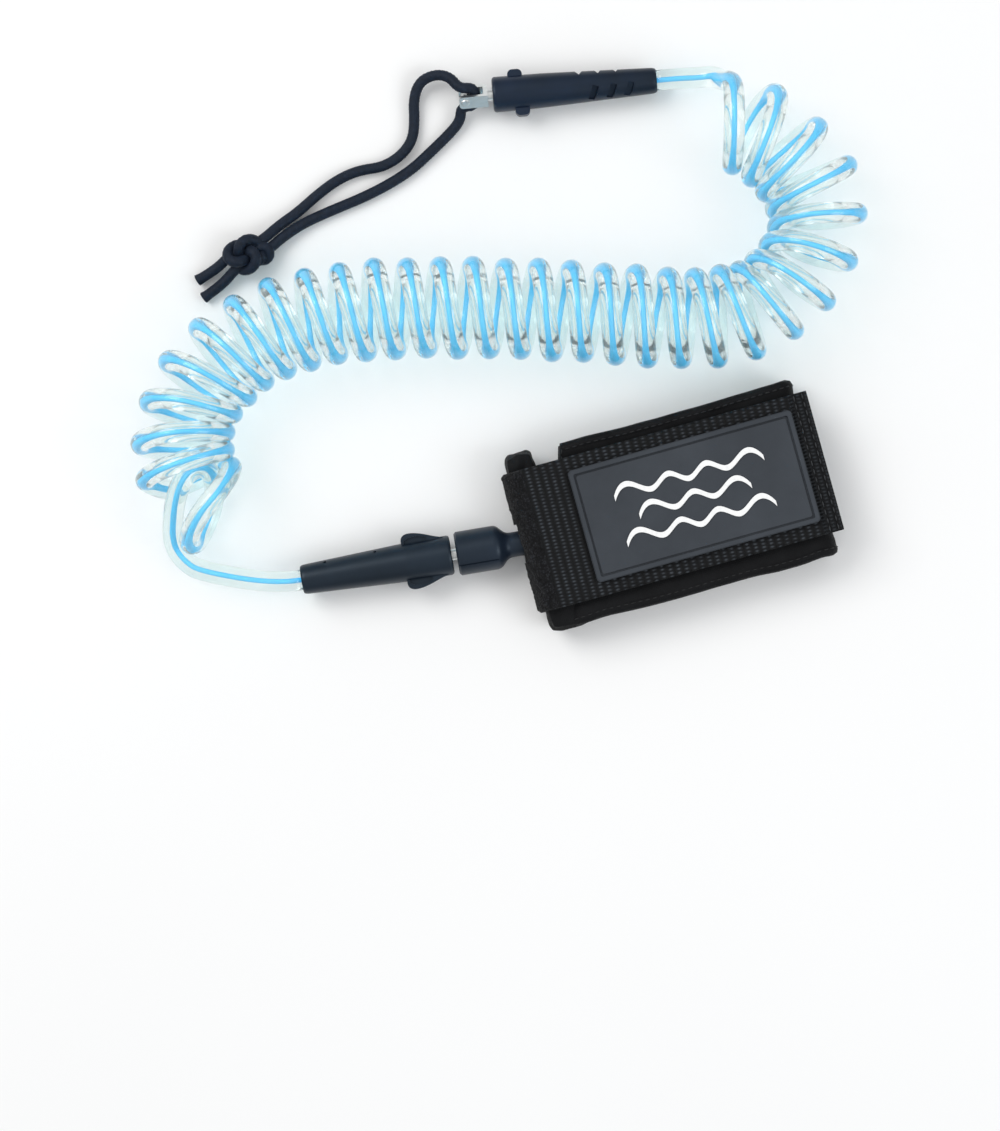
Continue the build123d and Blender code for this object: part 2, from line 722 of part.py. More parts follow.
def leads():
    """The cord's uncoiled stretches, and its two ends held inside the boots."""
    cuff_mouth = CUFF_BOOT_START + CUFF_BOOT_LENGTH
    cuff_exit = [on_axis(cuff_axis, cuff_mouth), on_axis(cuff_axis, cuff_mouth + CUFF_MOUTH_RUN)]
    cuff_entry = coil_entry(COIL_ROUTE[-2], COIL_ROUTE[-1], CUFF_ENTRY)
    tube("cord_lead_cuff", [tuple(p) for p in cuff_exit + CUFF_LEAD + cuff_entry], CORD_RADIUS)

    board_mouth = BOARD_BOOT_START + BOARD_BOOT_LENGTH
    board_exit = [on_axis(board_axis, board_mouth), on_axis(board_axis, board_mouth + BOARD_MOUTH_RUN)]
    board_entry = coil_entry(COIL_ROUTE[1], COIL_ROUTE[0], BOARD_ENTRY)
    tube("cord_lead_board", [tuple(p) for p in board_exit + board_entry], CORD_RADIUS)

    tube("cord_end_cuff", [on_axis(cuff_axis, cuff_cord_start), cuff_exit[0]], CORD_RADIUS)
    tube("cord_end_board", [on_axis(board_axis, board_cord_start), board_exit[0]], CORD_RADIUS)


def string():
    """The string round the cross pin, its knot, and its two tails."""
    eye = board_axis.origin
    along = board_axis.x_dir
    turn = [
        eye + leg_dir * STRING_BEND - along * EYE_EXIT,
        eye + leg_dir * STRING_BEND + along * STRING_BEND,
        eye - leg_dir * STRING_BEND + along * STRING_BEND,
        eye - leg_dir * STRING_BEND - along * EYE_EXIT,
    ]
    tube("string_loop", [tuple(p) for p in UPPER_STRAND + turn + LOWER_STRAND], STRING_RADIUS)
    tube("string_tail_left", TAIL_LEFT, STRING_RADIUS)
    tube("string_tail_right", TAIL_RIGHT, STRING_RADIUS)
    knot_dir = (0.97, 0.24, 0)
    with BuildPart() as knot:
        with BuildSketch(Plane(origin=KNOT_CENTRE, x_dir=knot_dir, z_dir=(0, 0, 1))):
            Ellipse(8.6, 6.2)
            with Locations((0, -10)):
                Rectangle(40, 20, mode=Mode.SUBTRACT)
        revolve(axis=Axis(KNOT_CENTRE, knot_dir))
    save(knot.part, "string_knot")


cuff_boot()
horn()
horn_bar()
horn_tab()
cuff_wrap()
fold_webbing()
fold_pad("fold_pad_front", WRAP_FRONT_Y, -BAR_LENGTH / 2 - BODY_GAP)
fold_pad("fold_pad_back", BAR_LENGTH / 2 + BODY_GAP, WRAP_BACK_Y + 0.8)
flat_panel("loop_panel", -31.0, 46.0, 44.0, WRAP_HEIGHT, PANEL_THICKNESS, 1.0)
flat_panel("hook_panel", -36.0, 47.0, 44.0, HOOK_BOTTOM, PANEL_THICKNESS, 1.0)
strap_left_x = FLAP_HINGE_X + FLAP_HINGE_GAP
flat_panel("strap_webbing", strap_left_x, STRAP_END_X, STRAP_WIDTH, STRAP_BOTTOM, STRAP_THICKNESS, 0.8)
flat_panel("strap_end", STRAP_END_X - 6.0, STRAP_END_X, STRAP_WIDTH, STRAP_TOP, 1.2, 0.5)
badge()
badge_emblem()
board_boot()
stirrup()
cross_pin()
coil()
leads()
string()
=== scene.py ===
import math

import bmesh
import bpy
from mathutils import Matrix, Vector, noise


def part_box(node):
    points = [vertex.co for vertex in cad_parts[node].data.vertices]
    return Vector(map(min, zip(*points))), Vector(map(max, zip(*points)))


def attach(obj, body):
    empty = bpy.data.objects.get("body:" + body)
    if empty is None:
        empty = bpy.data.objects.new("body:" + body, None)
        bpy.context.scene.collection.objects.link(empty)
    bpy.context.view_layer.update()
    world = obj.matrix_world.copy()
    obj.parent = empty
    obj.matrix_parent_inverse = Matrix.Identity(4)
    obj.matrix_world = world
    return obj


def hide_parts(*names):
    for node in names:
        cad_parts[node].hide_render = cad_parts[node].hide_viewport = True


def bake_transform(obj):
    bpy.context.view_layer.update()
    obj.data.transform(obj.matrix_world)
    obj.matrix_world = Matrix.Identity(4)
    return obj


# A coiled leash for a bodyboard or paddle board, laid out on a pale table.
# Metres, in the row frame: origin at the centre of the strap on the cuff's resting face,
# +X along the cuff away from the cord, +Y across it towards the coil, +Z up.

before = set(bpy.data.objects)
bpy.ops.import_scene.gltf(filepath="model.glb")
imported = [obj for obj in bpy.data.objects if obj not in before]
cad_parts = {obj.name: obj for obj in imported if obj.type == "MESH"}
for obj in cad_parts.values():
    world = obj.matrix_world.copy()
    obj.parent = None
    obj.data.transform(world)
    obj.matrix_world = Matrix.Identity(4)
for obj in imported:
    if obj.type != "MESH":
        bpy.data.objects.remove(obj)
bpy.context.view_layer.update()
scene = bpy.context.scene
MM = 0.001
UP = Vector((0, 0, 1))


def mm(*values):
    return Vector(values) * MM


# ---- camera, floor and light ----------------------------------------------------------

VIEW_CENTRE = mm(-61.8, -5.0, 10.0)
VIEW_DISTANCE = 1.0
FRAME_HEIGHT = 0.3845                   # what the long side of the image covers
PICTURE_UP = Vector((0.2672, 0.9636, 0.0))


def camera():
    """A camera straight above, turned so that the cuff lies as the picture has it."""
    data = bpy.data.cameras.new("camera")
    data.sensor_width = 36.0
    data.lens = 36.0 * VIEW_DISTANCE / FRAME_HEIGHT
    data.clip_start, data.clip_end = 0.01, 20.0
    obj = bpy.data.objects.new("camera", data)
    scene.collection.objects.link(obj)
    right = PICTURE_UP.cross(UP).normalized()
    turn = Matrix((right, PICTURE_UP.normalized(), UP)).transposed()
    obj.matrix_world = Matrix.Translation(VIEW_CENTRE + UP * VIEW_DISTANCE) @ turn.to_4x4()
    scene.camera = obj


def area_light(name, place, target, size, power, colour):
    """A soft box at a place, pointed at its target."""
    data = bpy.data.lights.new(name, "AREA")
    data.shape = "RECTANGLE"
    data.size, data.size_y = size
    data.energy = power
    data.color = colour
    obj = bpy.data.objects.new(name, data)
    scene.collection.objects.link(obj)
    obj.location = place
    obj.rotation_euler = (Vector(target) - Vector(place)).to_track_quat("-Z", "Y").to_euler()


def studio():
    """Two soft boxes and a world that is bright overhead and grey towards the horizon."""
    centre = (VIEW_CENTRE.x, 0.06, 0.0)
    area_light("key", (-0.75, 0.85, 1.15), centre, (0.9, 0.9), 11.5, (1.0, 0.99, 0.97))
    area_light("fill", (0.85, -0.55, 0.95), centre, (0.7, 0.7), 5.0, (0.95, 0.98, 1.0))

    world = bpy.data.worlds.new("studio")
    scene.world = world
    world.use_nodes = True
    nt = world.node_tree
    nt.nodes.clear()
    out = nt.nodes.new("ShaderNodeOutputWorld")
    background = nt.nodes.new("ShaderNodeBackground")
    ramp = nt.nodes.new("ShaderNodeValToRGB")
    split = nt.nodes.new("ShaderNodeSeparateXYZ")
    coordinates = nt.nodes.new("ShaderNodeTexCoord")
    nt.links.new(coordinates.outputs["Generated"], split.inputs[0])
    nt.links.new(split.outputs["Z"], ramp.inputs[0])
    nt.links.new(ramp.outputs[0], background.inputs["Color"])
    nt.links.new(background.outputs[0], out.inputs[0])
    stops = ramp.color_ramp.elements
    stops[0].position, stops[0].color = 0.0, (0.36, 0.37, 0.38, 1)
    stops[1].position, stops[1].color = 0.75, (1.0, 1.0, 1.0, 1)
    middle = stops.new(0.28)
    middle.color = (0.52, 0.535, 0.55, 1)
    background.inputs["Strength"].default_value = 0.76


def floor():
    """A wide sheet of paper, a hair under the object so that nothing lies in its plane."""
    mesh = bpy.data.meshes.new("floor")
    half, drop = 1.6, -0.05 * MM
    corners = [(-half, -half), (half, -half), (half, half), (-half, half)]
    mesh.from_pydata([(x + VIEW_CENTRE.x, y, drop) for x, y in corners], [], [(0, 1, 2, 3)])
    obj = bpy.data.objects.new("floor", mesh)
    scene.collection.objects.link(obj)
    return obj


camera()
studio()
scene.view_settings.view_transform = "Standard"
scene.view_settings.look = "None"


# ---- node helpers ---------------------------------------------------------------------

class Nodes:
    """Builds one material's node tree from short calls."""

    def __init__(self, name, coordinates="Object"):
        self.material = bpy.data.materials.new(name)
        self.material.use_nodes = True
        self.tree = self.material.node_tree
        self.tree.nodes.clear()
        self.output = self.add("ShaderNodeOutputMaterial")
        self.place = self.add("ShaderNodeTexCoord").outputs[coordinates]

    def add(self, kind, inputs=None, **settings):
        node = self.tree.nodes.new(kind)
        for key, value in settings.items():
            setattr(node, key, value)
        for key, value in (inputs or {}).items():
            self.put(node.inputs[key], value)
        return node

    def put(self, socket, value):
        if isinstance(value, bpy.types.NodeSocket):
            self.tree.links.new(value, socket)
        else:
            socket.default_value = value

    def math(self, operation, a, b=0.0):
        node = self.add("ShaderNodeMath", {0: a, 1: b}, operation=operation)
        return node.outputs[0]

    def axes(self):
        split = self.add("ShaderNodeSeparateXYZ", {0: self.place})
        return split.outputs[0], split.outputs[1], split.outputs[2]

    def wave(self, value, period, sharp=1.0):
        """0 to 1 and back once in each period of a coordinate in metres."""
        turn = self.math("MULTIPLY", value, math.pi / period)
        hump = self.math("ABSOLUTE", self.math("SINE", turn))
        return self.math("POWER", hump, sharp) if sharp != 1.0 else hump

    def noise(self, scale, detail=3.0, roughness=0.55, vector=None):
        inputs = {"Scale": scale, "Detail": detail, "Roughness": roughness}
        node = self.add("ShaderNodeTexNoise", {"Vector": vector or self.place, **inputs})
        return node.outputs["Fac"]

    def stretch(self, x, y, z):
        """The object coordinates, scaled unevenly."""
        node = self.add("ShaderNodeVectorMath", {0: self.place}, operation="MULTIPLY")
        node.inputs[1].default_value = (x, y, z)
        return node.outputs[0]

    def cells(self, scale):
        node = self.add("ShaderNodeTexVoronoi", {"Vector": self.place, "Scale": scale})
        return node.outputs["Distance"]

    def ramp(self, value, *stops):
        node = self.add("ShaderNodeValToRGB", {0: value})
        elements = node.color_ramp.elements
        for i, (position, colour) in enumerate(stops):
            element = elements[i] if i < 2 else elements.new(position)
            element.position = position
            element.color = (*colour, 1)
        return node.outputs[0]

    def span(self, value, low, high):
        """0 to 1 in, low to high out."""
        node = self.add("ShaderNodeMapRange", {"Value": value, "To Min": low, "To Max": high})
        return node.outputs[0]

    def bump(self, height, distance, strength=1.0):
        inputs = {"Height": height, "Distance": distance, "Strength": strength}
        return self.add("ShaderNodeBump", inputs).outputs[0]

    def mix(self, share, first, second):
        """A mix of two shader nodes."""
        inputs = {0: share, 1: first.outputs[0], 2: second.outputs[0]}
        return self.add("ShaderNodeMixShader", inputs)

    def principled(self, **inputs):
        node = self.add("ShaderNodeBsdfPrincipled")
        for key, value in inputs.items():
            self.put(node.inputs[key.replace("_", " ")], value)
        return node

    def finish(self, shader):
        self.put(self.output.inputs["Surface"], shader.outputs[0])
        return self.material


# ---- materials ------------------------------------------------------------------------

def floor_material():
    n = Nodes("floor_paper")
    tone = n.ramp(n.noise(3.0, 2.0), (0.3, (0.89, 0.892, 0.895)), (0.7, (0.91, 0.912, 0.914)))
    return n.finish(n.principled(
        Base_Color=tone, Roughness=0.85, Specular_IOR_Level=0.2,
        Normal=n.bump(n.noise(900.0), 0.00002, 0.4),
    ))


def clear_cord_material():
    """Clear urethane with a faint grey-green milkiness, fine draw lines and small scuffs."""
    n = Nodes("clear_urethane")
    cast = n.ramp(n.noise(60.0, 2.0), (0.35, (0.86, 0.92, 0.895)), (0.7, (0.92, 0.96, 0.94)))
    scuff = n.span(n.noise(700.0, 4.0, 0.6), 0.02, 0.10)
    glass = n.principled(
        Base_Color=cast, Roughness=scuff, IOR=1.46, Transmission_Weight=1.0,
        Normal=n.bump(n.noise(420.0, 3.0), 0.00006, 0.5),
    )
    milk = n.principled(Base_Color=(0.80, 0.87, 0.85, 1), Roughness=0.3, Specular_IOR_Level=0.4)
    haze = n.mix(n.span(n.noise(160.0, 3.0), 0.07, 0.17), glass, milk)
    # light passes through to the table, which a transmission shader's shadow would darken
    tint = n.add("ShaderNodeBsdfTransparent", {"Color": (0.90, 0.945, 0.94, 1)})
    path = n.add("ShaderNodeLightPath")
    return n.finish(n.mix(path.outputs["Is Shadow Ray"], haze, tint))


def core_material():
    """The bright blue strand down the middle of the cord."""
    n = Nodes("blue_core")
    tone = n.ramp(n.noise(150.0, 2.0), (0.3, (0.02, 0.50, 0.93)), (0.7, (0.05, 0.58, 0.97)))
    return n.finish(n.principled(
        Base_Color=tone, Roughness=n.span(n.noise(500.0), 0.35, 0.5),
        # a faint painted glow: the strand gives off a little blue light of its own, so that it
        # shows bright inside the clear cord
        Emission_Color=(0.03, 0.50, 0.93, 1), Emission_Strength=0.12,
        Normal=n.bump(n.noise(800.0), 0.00003, 0.4),
    ))


def rubber_material(name, dark, light):
    """Satin moulded rubber: fine grain, faint flow marks and lighter rubbed spots."""
    n = Nodes(name)
    tone = n.ramp(n.noise(45.0, 4.0, 0.6), (0.32, dark), (0.75, light))
    grain = n.noise(2600.0, 2.0)
    flow = n.noise(120.0, 3.0)
    height = n.math("ADD", n.math("MULTIPLY", grain, 0.5), flow)
    return n.finish(n.principled(
        Base_Color=tone, Roughness=n.span(n.noise(260.0, 4.0, 0.65), 0.30, 0.46),
        Specular_IOR_Level=0.36, Specular_Tint=(0.72, 0.86, 1.0, 1),
        Normal=n.bump(height, 0.00008, 0.45),
    ))


def steel_material():
    n = Nodes("stainless_steel")
    brushed = n.noise(1.0, 2.0, 0.5, n.stretch(90.0, 700.0, 700.0))
    return n.finish(n.principled(
        Base_Color=n.ramp(brushed, (0.3, (0.66, 0.685, 0.68)), (0.7, (0.75, 0.775, 0.77))),
        Metallic=1.0, Roughness=n.span(brushed, 0.26, 0.38),
        Normal=n.bump(brushed, 0.00001, 0.2),
    ))


def brass_material():
    n = Nodes("brass")
    mottle = n.noise(400.0, 4.0)
    return n.finish(n.principled(
        Base_Color=n.ramp(mottle, (0.3, (0.58, 0.40, 0.14)), (0.7, (0.74, 0.56, 0.24))),
        Metallic=1.0, Roughness=n.span(mottle, 0.25, 0.45),
        Normal=n.bump(mottle, 0.00002, 0.3),
    ))


def string_material():
    """Blue-black braid: the relief is real, the single fibres are in the bump."""
    n = Nodes("braided_string")
    fibre = n.noise(5200.0, 3.0, 0.6)
    tone = n.ramp(
        n.noise(700.0, 4.0, 0.7), (0.25, (0.0025, 0.006, 0.013)), (0.6, (0.006, 0.013, 0.028)),
        (0.85, (0.018, 0.034, 0.058)),
    )
    return n.finish(n.principled(
        Base_Color=tone, Roughness=n.span(fibre, 0.5, 0.72), Specular_IOR_Level=0.24,
        Sheen_Weight=0.06, Sheen_Roughness=0.5, Sheen_Tint=(0.5, 0.6, 0.85, 1),
        Normal=n.bump(fibre, 0.00012, 0.6),
    ))


def webbing_material(name, column, stitch, shine=1.0):
    """Black nylon webbing: ribs across it, and beads in each. Its UVs are in metres."""
    n = Nodes(name, "UV")
    along, across, _ = n.axes()
    rib = n.wave(along, column, 1.3)
    odd = n.math("MODULO", n.math("FLOOR", n.math("DIVIDE", along, column)), 2.0)
    shifted = n.math("ADD", across, n.math("MULTIPLY", odd, stitch / 2))
    bead = n.wave(shifted, stitch, 1.1)
    thread = n.noise(1.0, 2.0, 0.6, n.stretch(1300.0, 4200.0, 1.0))
    weave = n.math("MULTIPLY", rib, n.math("ADD", n.math("MULTIPLY", bead, 0.6), 0.4))
    height = n.math("ADD", weave, n.math("MULTIPLY", thread, 0.3))
    patches, specks = n.span(n.noise(110.0, 3.0), 0.6, 1.2), n.span(n.noise(900.0, 2.0), 0.6, 1.3)
    # the colour follows the weave's relief: painted shade in the hollows between ribs and beads
    # and painted highlight on their tops, varied by random patches and specks of tone
    weave_shade_and_patches = n.math("MULTIPLY", weave, n.math("MULTIPLY", patches, specks))
    # the two upper stops are the painted highlight on the beads, scaled by shine
    tone = n.ramp(
        weave_shade_and_patches, (0.0, (0.0010, 0.0012, 0.0016)), (0.42, (0.0050, 0.0058, 0.0072)),
        (0.62, (0.013 * shine, 0.015 * shine, 0.018 * shine)),
        (0.9, (0.046 * shine, 0.053 * shine, 0.062 * shine)),
    )
    return n.finish(n.principled(
        Base_Color=tone, Roughness=n.span(thread, 0.5, 0.8), Sheen_Weight=0.02,
        Sheen_Roughness=0.45, Specular_IOR_Level=0.2, Normal=n.bump(height, 0.00060, 0.95),
    ))


def fuzzy_material(name, size, lift):
    """Hook or loop tape: a close pile of tiny standing loops, matted here and there."""
    n = Nodes(name)
    pile = n.cells(1.0 / size)
    hair = n.noise(1.6 / size, 4.0, 0.75)
    matted = n.noise(0.34 / size, 3.0, 0.7, n.stretch(1.0, 0.55, 1.0))
    height = n.math("SUBTRACT", n.math("ADD", hair, n.math("MULTIPLY", matted, 1.1)),
                    n.math("MULTIPLY", pile, 0.8))
    # the colour follows the pile's height: painted shade in its hollows and painted highlight on
    # its tops
    tone = n.ramp(
        height, (0.35, (0.0012, 0.0013, 0.0018)), (0.75, (0.006, 0.0064, 0.008)),
        (1.0, (0.026, 0.028, 0.033)),
    )
    return n.finish(n.principled(
        Base_Color=tone, Roughness=n.span(hair, 0.75, 0.95), Sheen_Weight=0.06,
        Sheen_Roughness=0.6, Specular_IOR_Level=0.12, Normal=n.bump(height, lift, 1.0),
    ))


def neoprene_material():
    """Black neoprene with a close knitted face and faint creases."""
    n = Nodes("neoprene")
    x, y, z = n.axes()
    knit = n.math("MULTIPLY", n.wave(x, 0.00062), n.wave(n.math("ADD", y, z), 0.00048))
    crease = n.noise(1.0, 4.0, 0.6, n.stretch(70.0, 240.0, 150.0))
    height = n.math("ADD", n.math("MULTIPLY", knit, 0.25), crease)
    tone = n.ramp(
        n.noise(110.0, 4.0, 0.65),
        (0.3, (0.0028, 0.0030, 0.0036)), (0.75, (0.0072, 0.0076, 0.0088)),
    )
    return n.finish(n.principled(
        Base_Color=tone, Roughness=n.span(n.noise(300.0, 3.0), 0.5, 0.72), Sheen_Weight=0.01,
        Sheen_Roughness=0.4, Specular_IOR_Level=0.13, Normal=n.bump(height, 0.00040, 0.6),
    ))


def badge_material():
    """Matte slate rubber with a fine leathery grain and faint rub marks."""
    n = Nodes("badge_rubber")
    grain = n.cells(2100.0)
    tone = n.ramp(
        n.noise(38.0, 5.0, 0.6), (0.3, (0.022, 0.028, 0.037)), (0.72, (0.036, 0.044, 0.056)),
    )
    return n.finish(n.principled(
        Base_Color=tone, Roughness=n.span(n.noise(180.0, 4.0), 0.48, 0.64),
        Specular_IOR_Level=0.4, Normal=n.bump(grain, 0.00008, 0.35),
    ))


def emblem_material():
    n = Nodes("emblem_print")
    chip = n.noise(900.0, 5.0, 0.7)
    return n.finish(n.principled(
        Base_Color=n.ramp(chip, (0.25, (0.74, 0.75, 0.76)), (0.5, (0.90, 0.90, 0.90))),
        Roughness=n.span(chip, 0.3, 0.5), Normal=n.bump(chip, 0.00004, 0.4),
    ))


def thread_material(name, dark, light):
    """Bonded sewing thread, twisted."""
    n = Nodes(name)
    x, y, z = n.axes()
    twist = n.wave(n.math("ADD", n.math("ADD", x, y), z), 0.0005)
    return n.finish(n.principled(
        # the colour follows the twist's relief: painted shade in its grooves and painted highlight
        # on its ridges
        Base_Color=n.ramp(twist, (0.2, dark), (0.8, light)),
        Roughness=n.span(twist, 0.45, 0.65), Normal=n.bump(twist, 0.0001, 0.6),
    ))


CLEAR = clear_cord_material()
CORE = core_material()
BOOT = rubber_material("boot_rubber", (0.0045, 0.0085, 0.0145), (0.009, 0.016, 0.027))
BOARD_RUBBER = rubber_material(
    "board_boot_rubber", (0.0028, 0.0070, 0.0150), (0.006, 0.0135, 0.034),
)
HORN = rubber_material("horn_rubber", (0.0055, 0.0095, 0.0165), (0.011, 0.018, 0.031))
NYLON = rubber_material("saddle_nylon", (0.006, 0.006, 0.007), (0.013, 0.013, 0.015))
STEEL = steel_material()
BRASS = brass_material()
STRING = string_material()
RIB = 2.7 * MM                          # the webbing's ribs, and the beads along each
BEAD = 1.2 * MM
WEBBING = webbing_material("nylon_webbing", RIB, BEAD)
# a copy of the webbing for the strap's end, with its painted highlight halved
WEBBING_HALF_HIGHLIGHT = webbing_material("webbing_half_highlight", RIB, BEAD, 0.5)
FUZZ = fuzzy_material("loop_pile", 0.0007, 0.0006)
HOOKS = fuzzy_material("hook_pile", 0.0011, 0.0008)
NEOPRENE = neoprene_material()
BADGE = badge_material()
EMBLEM = emblem_material()
THREAD = thread_material("sewing_thread", (0.008, 0.009, 0.011), (0.030, 0.033, 0.038))
BLACK_THREAD = thread_material("black_thread", (0.002, 0.0022, 0.003), (0.0055, 0.006, 0.0075))

paper = floor()
paper.data.materials.append(floor_material())


# ---- mesh helpers ---------------------------------------------------------------------

def new_object(name, vertices, faces, material, body=None, slot=None, weave=None):
    """A smooth mesh object. weave gives each vertex's place along and across, as UVs."""
    mesh = bpy.data.meshes.new(name)
    mesh.from_pydata([tuple(v) for v in vertices], [], faces)
    mesh.update()
    mesh.polygons.foreach_set("use_smooth", [True] * len(mesh.polygons))
    obj = bpy.data.objects.new(name, mesh)
    scene.collection.objects.link(obj)
    mesh.materials.append(material)
    if weave:
        layer = mesh.uv_layers.new(name="weave")
        for loop in mesh.loops:
            layer.data[loop.index].uv = weave[loop.vertex_index]
    if body:
        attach(obj, body)
    return obj


def joined(parts):
    """Several meshes as one, each given as its vertices and faces."""
    vertices, faces = [], []
    for some, quads in parts:
        base = len(vertices)
        vertices += some
        faces += [tuple(base + v for v in f) for f in quads]
    return vertices, faces


def tube_faces(rows, sides):
    """Quads along a tube whose rings of vertices follow each other."""
    faces = []
    for i in range(rows):
        for k in range(sides):
            a, b = i * sides + k, i * sides + (k + 1) % sides
            faces.append((a, b, b + sides, a + sides))
    return faces


def tube_caps(rows, sides):
    """The flat ends of such a tube."""
    return [tuple(range(sides - 1, -1, -1)), tuple(rows * sides + k for k in range(sides))]


def hoop_faces(count, ring, turned=False):
    """Quads round a closed hoop of equal sections, ring vertices in each."""
    faces = []
    for i in range(count):
        for k in range(ring):
            a, b = i * ring + k, i * ring + (k + 1) % ring
            c, d = (i + 1) % count * ring + (k + 1) % ring, (i + 1) % count * ring + k
            faces.append((a, b, c, d) if turned else (a, d, c, b))
    return faces


def slab_faces(rows, lanes, hidden=(), open_row=None):
    """Quads of a slab: an upper grid of vertices, a lower one after it, and the edges.

    hidden holds the cells to leave out. open_row, -1 or rows, leaves that end open.
    """
    size = (rows + 1) * (lanes + 1)
    faces = []
    for i in range(rows):
        for j in range(lanes):
            if (i, j) in hidden:
                continue
            a = i * (lanes + 1) + j
            b, c, d = a + 1, a + lanes + 2, a + lanes + 1
            faces += [(a, d, c, b), (a + size, b + size, c + size, d + size)]
            for p, q, u, v in (
                (a, b, i - 1, j), (b, c, i, j + 1), (c, d, i + 1, j), (d, a, i, j - 1),
            ):
                inside = 0 <= u < rows and 0 <= v < lanes and (u, v) not in hidden
                if not inside and u != open_row:
                    faces.append((p, q, q + size, p + size))
    return faces


def smooth_step(value, low, high):
    """0 below low and 1 above high, and a smooth rise between them."""
    t = min(max((value - low) / (high - low), 0.0), 1.0)
    return t * t * (3 - 2 * t)


def hump(value, middle, width):
    """1 at the middle, falling off smoothly to both sides."""
    return math.exp(-(((value - middle) / width) ** 2))


def spline_line(points, resolution):
    """The line of an open NURBS spline with these control points, read from its mesh."""
    curve = bpy.data.curves.new("route", "CURVE")
    curve.dimensions = "3D"
    spline = curve.splines.new("NURBS")
    spline.points.add(len(points) - 1)
    for target, point in zip(spline.points, points):
        target.co = (*point, 1)
    spline.order_u = 3
    spline.use_endpoint_u = True
    spline.resolution_u = resolution
    curve.resolution_u = resolution
    obj = bpy.data.objects.new("route", curve)
    scene.collection.objects.link(obj)
    bpy.context.view_layer.update()
    mesh = bpy.data.meshes.new_from_object(obj)
    line = []
    for vertex in mesh.vertices:
        if not line or (vertex.co - line[-1]).length > 1e-6:
            line.append(vertex.co.copy())
    bpy.data.meshes.remove(mesh)
    bpy.data.objects.remove(obj)
    return line


class Line:
    """A polyline read from a spline, asked for places by distance along it."""

    def __init__(self, points):
        self.points = points
        self.at = [0.0]
        for a, b in zip(points, points[1:]):
            self.at.append(self.at[-1] + (b - a).length)
        self.length = self.at[-1]

    def place(self, distance):
        distance = min(max(distance, 0.0), self.length)
        low, high = 0, len(self.at) - 1
        while high - low > 1:
            middle = (low + high) // 2
            if self.at[middle] <= distance:
                low = middle
            else:
                high = middle
        share = (distance - self.at[low]) / max(self.at[high] - self.at[low], 1e-12)
        return self.points[low].lerp(self.points[high], share)

    def heading(self, distance):
        reach = self.length / 2000
        return (self.place(distance + reach) - self.place(distance - reach)).normalized()


# ---- the coiled cord ------------------------------------------------------------------

CORD_RADIUS = 3.5 * MM
CORE_RADIUS = 0.62 * MM
COIL_RADIUS = 17.35 * MM
TURNS = 29
POINTS_PER_TURN = 14
PITCH = 10.87 * MM
SLIPPED_POINTS = 6

# the coil's centre line, from the board end to the cuff end
COIL_ROUTE = [
    (52.9, 118.3), (62.0, 115.8), (73.9, 100.8), (74.8, 81.7), (64.2, 65.0), (45.5, 55.0),
    (25.5, 56.8), (6.0, 63.5), (-16.0, 71.5), (-39.5, 79.0), (-63.5, 85.8), (-88.0, 91.5),
    (-112.5, 93.0), (-134.5, 87.0), (-150.0, 74.0), (-156.2, 58.0), (-155.6, 45.0),
]

EYE = mm(-30.7, 152.0, 7.0)
BOARD_HEADING = math.radians(-10.4)
BOARD_ALONG = Vector((math.cos(BOARD_HEADING), math.sin(BOARD_HEADING), 0))
BOARD_MOUTH = EYE + BOARD_ALONG * 65.5 * MM
HORN_PIVOT = mm(-49.0, 0.0, 8.5)
CUFF_HEADING = math.radians(174.0)
CUFF_ALONG = Vector((math.cos(CUFF_HEADING), math.sin(CUFF_HEADING), 0))
CUFF_MOUTH = HORN_PIVOT + CUFF_ALONG * 79.5 * MM

BOARD_LEAD = [(47.4, 137.3, 7.0), (52.8, 136.2, 8.6), (54.9, 133.2, 13.0)]

# the turn that has slipped down at the cuff end, and the cord's way from it to the boot
LAST_TURN = [
    (-163.8, 49.6, 6.6), (-157.4, 50.6, 4.0), (-149.6, 51.9, 3.7), (-143.1, 52.6, 6.8),
    (-139.8, 51.7, 15.4), (-141.2, 48.4, 24.5), (-146.0, 43.6, 29.5), (-151.7, 39.8, 30.0),
    (-156.5, 35.8, 27.0), (-160.0, 32.1, 21.5), (-160.9, 29.4, 14.2), (-158.8, 30.3, 7.0),
    (-155.4, 34.6, 3.8), (-152.0, 39.2, 3.7), (-149.6, 43.6, 5.2), (-147.9, 47.6, 9.6),
    (-147.4, 51.4, 15.2),
]
CUFF_LEAD = [
    (-149.8, 53.9, 20.6), (-154.2, 53.2, 24.0), (-158.4, 49.4, 23.6), (-161.8, 44.2, 19.8),
    (-164.1, 39.6, 15.5), (-166.2, 34.8, 11.0), (-166.8, 29.9, 7.6), (-164.8, 25.0, 7.8),
    (-160.8, 20.4, 8.2),
]


def lean(turn):
    """How far the top of a turn leans ahead: the turns splay where the coil curves."""
    near_board, near_cuff = 2.9 * hump(turn, 3.5, 1.4), 2.4 * hump(turn, 26.5, 2.0)
    first_turn = -3.4 * hump(turn, 0.5, 1.0)
    return (near_board + near_cuff + first_turn + 0.5) * MM


def drift(turn):
    """How far a whole turn has moved along the coil from its even place."""
    round_bend, first_turn = 2.3 * hump(turn, 6.0, 3.0), -2.6 * hump(turn, 0.5, 0.9)
    return (round_bend + first_turn) * MM


def tucked(turn):
    """How far the second to fourth turns stand inside the even bend."""
    return 2.6 * MM * hump(turn, 1.9, 1.3) * smooth_step(turn, 0.4, 1.2)


def progress(turn):
    """How far along the coil a turn has got: round the bend, each turn lies in one plane
    and steps on to the next only on the inside."""
    whole = math.floor(turn)
    step = smooth_step(turn - whole, 0.22, 0.78)
    share = hump(turn, 4.6, 1.8)
    return turn * (1 - share) + (whole + step) * share


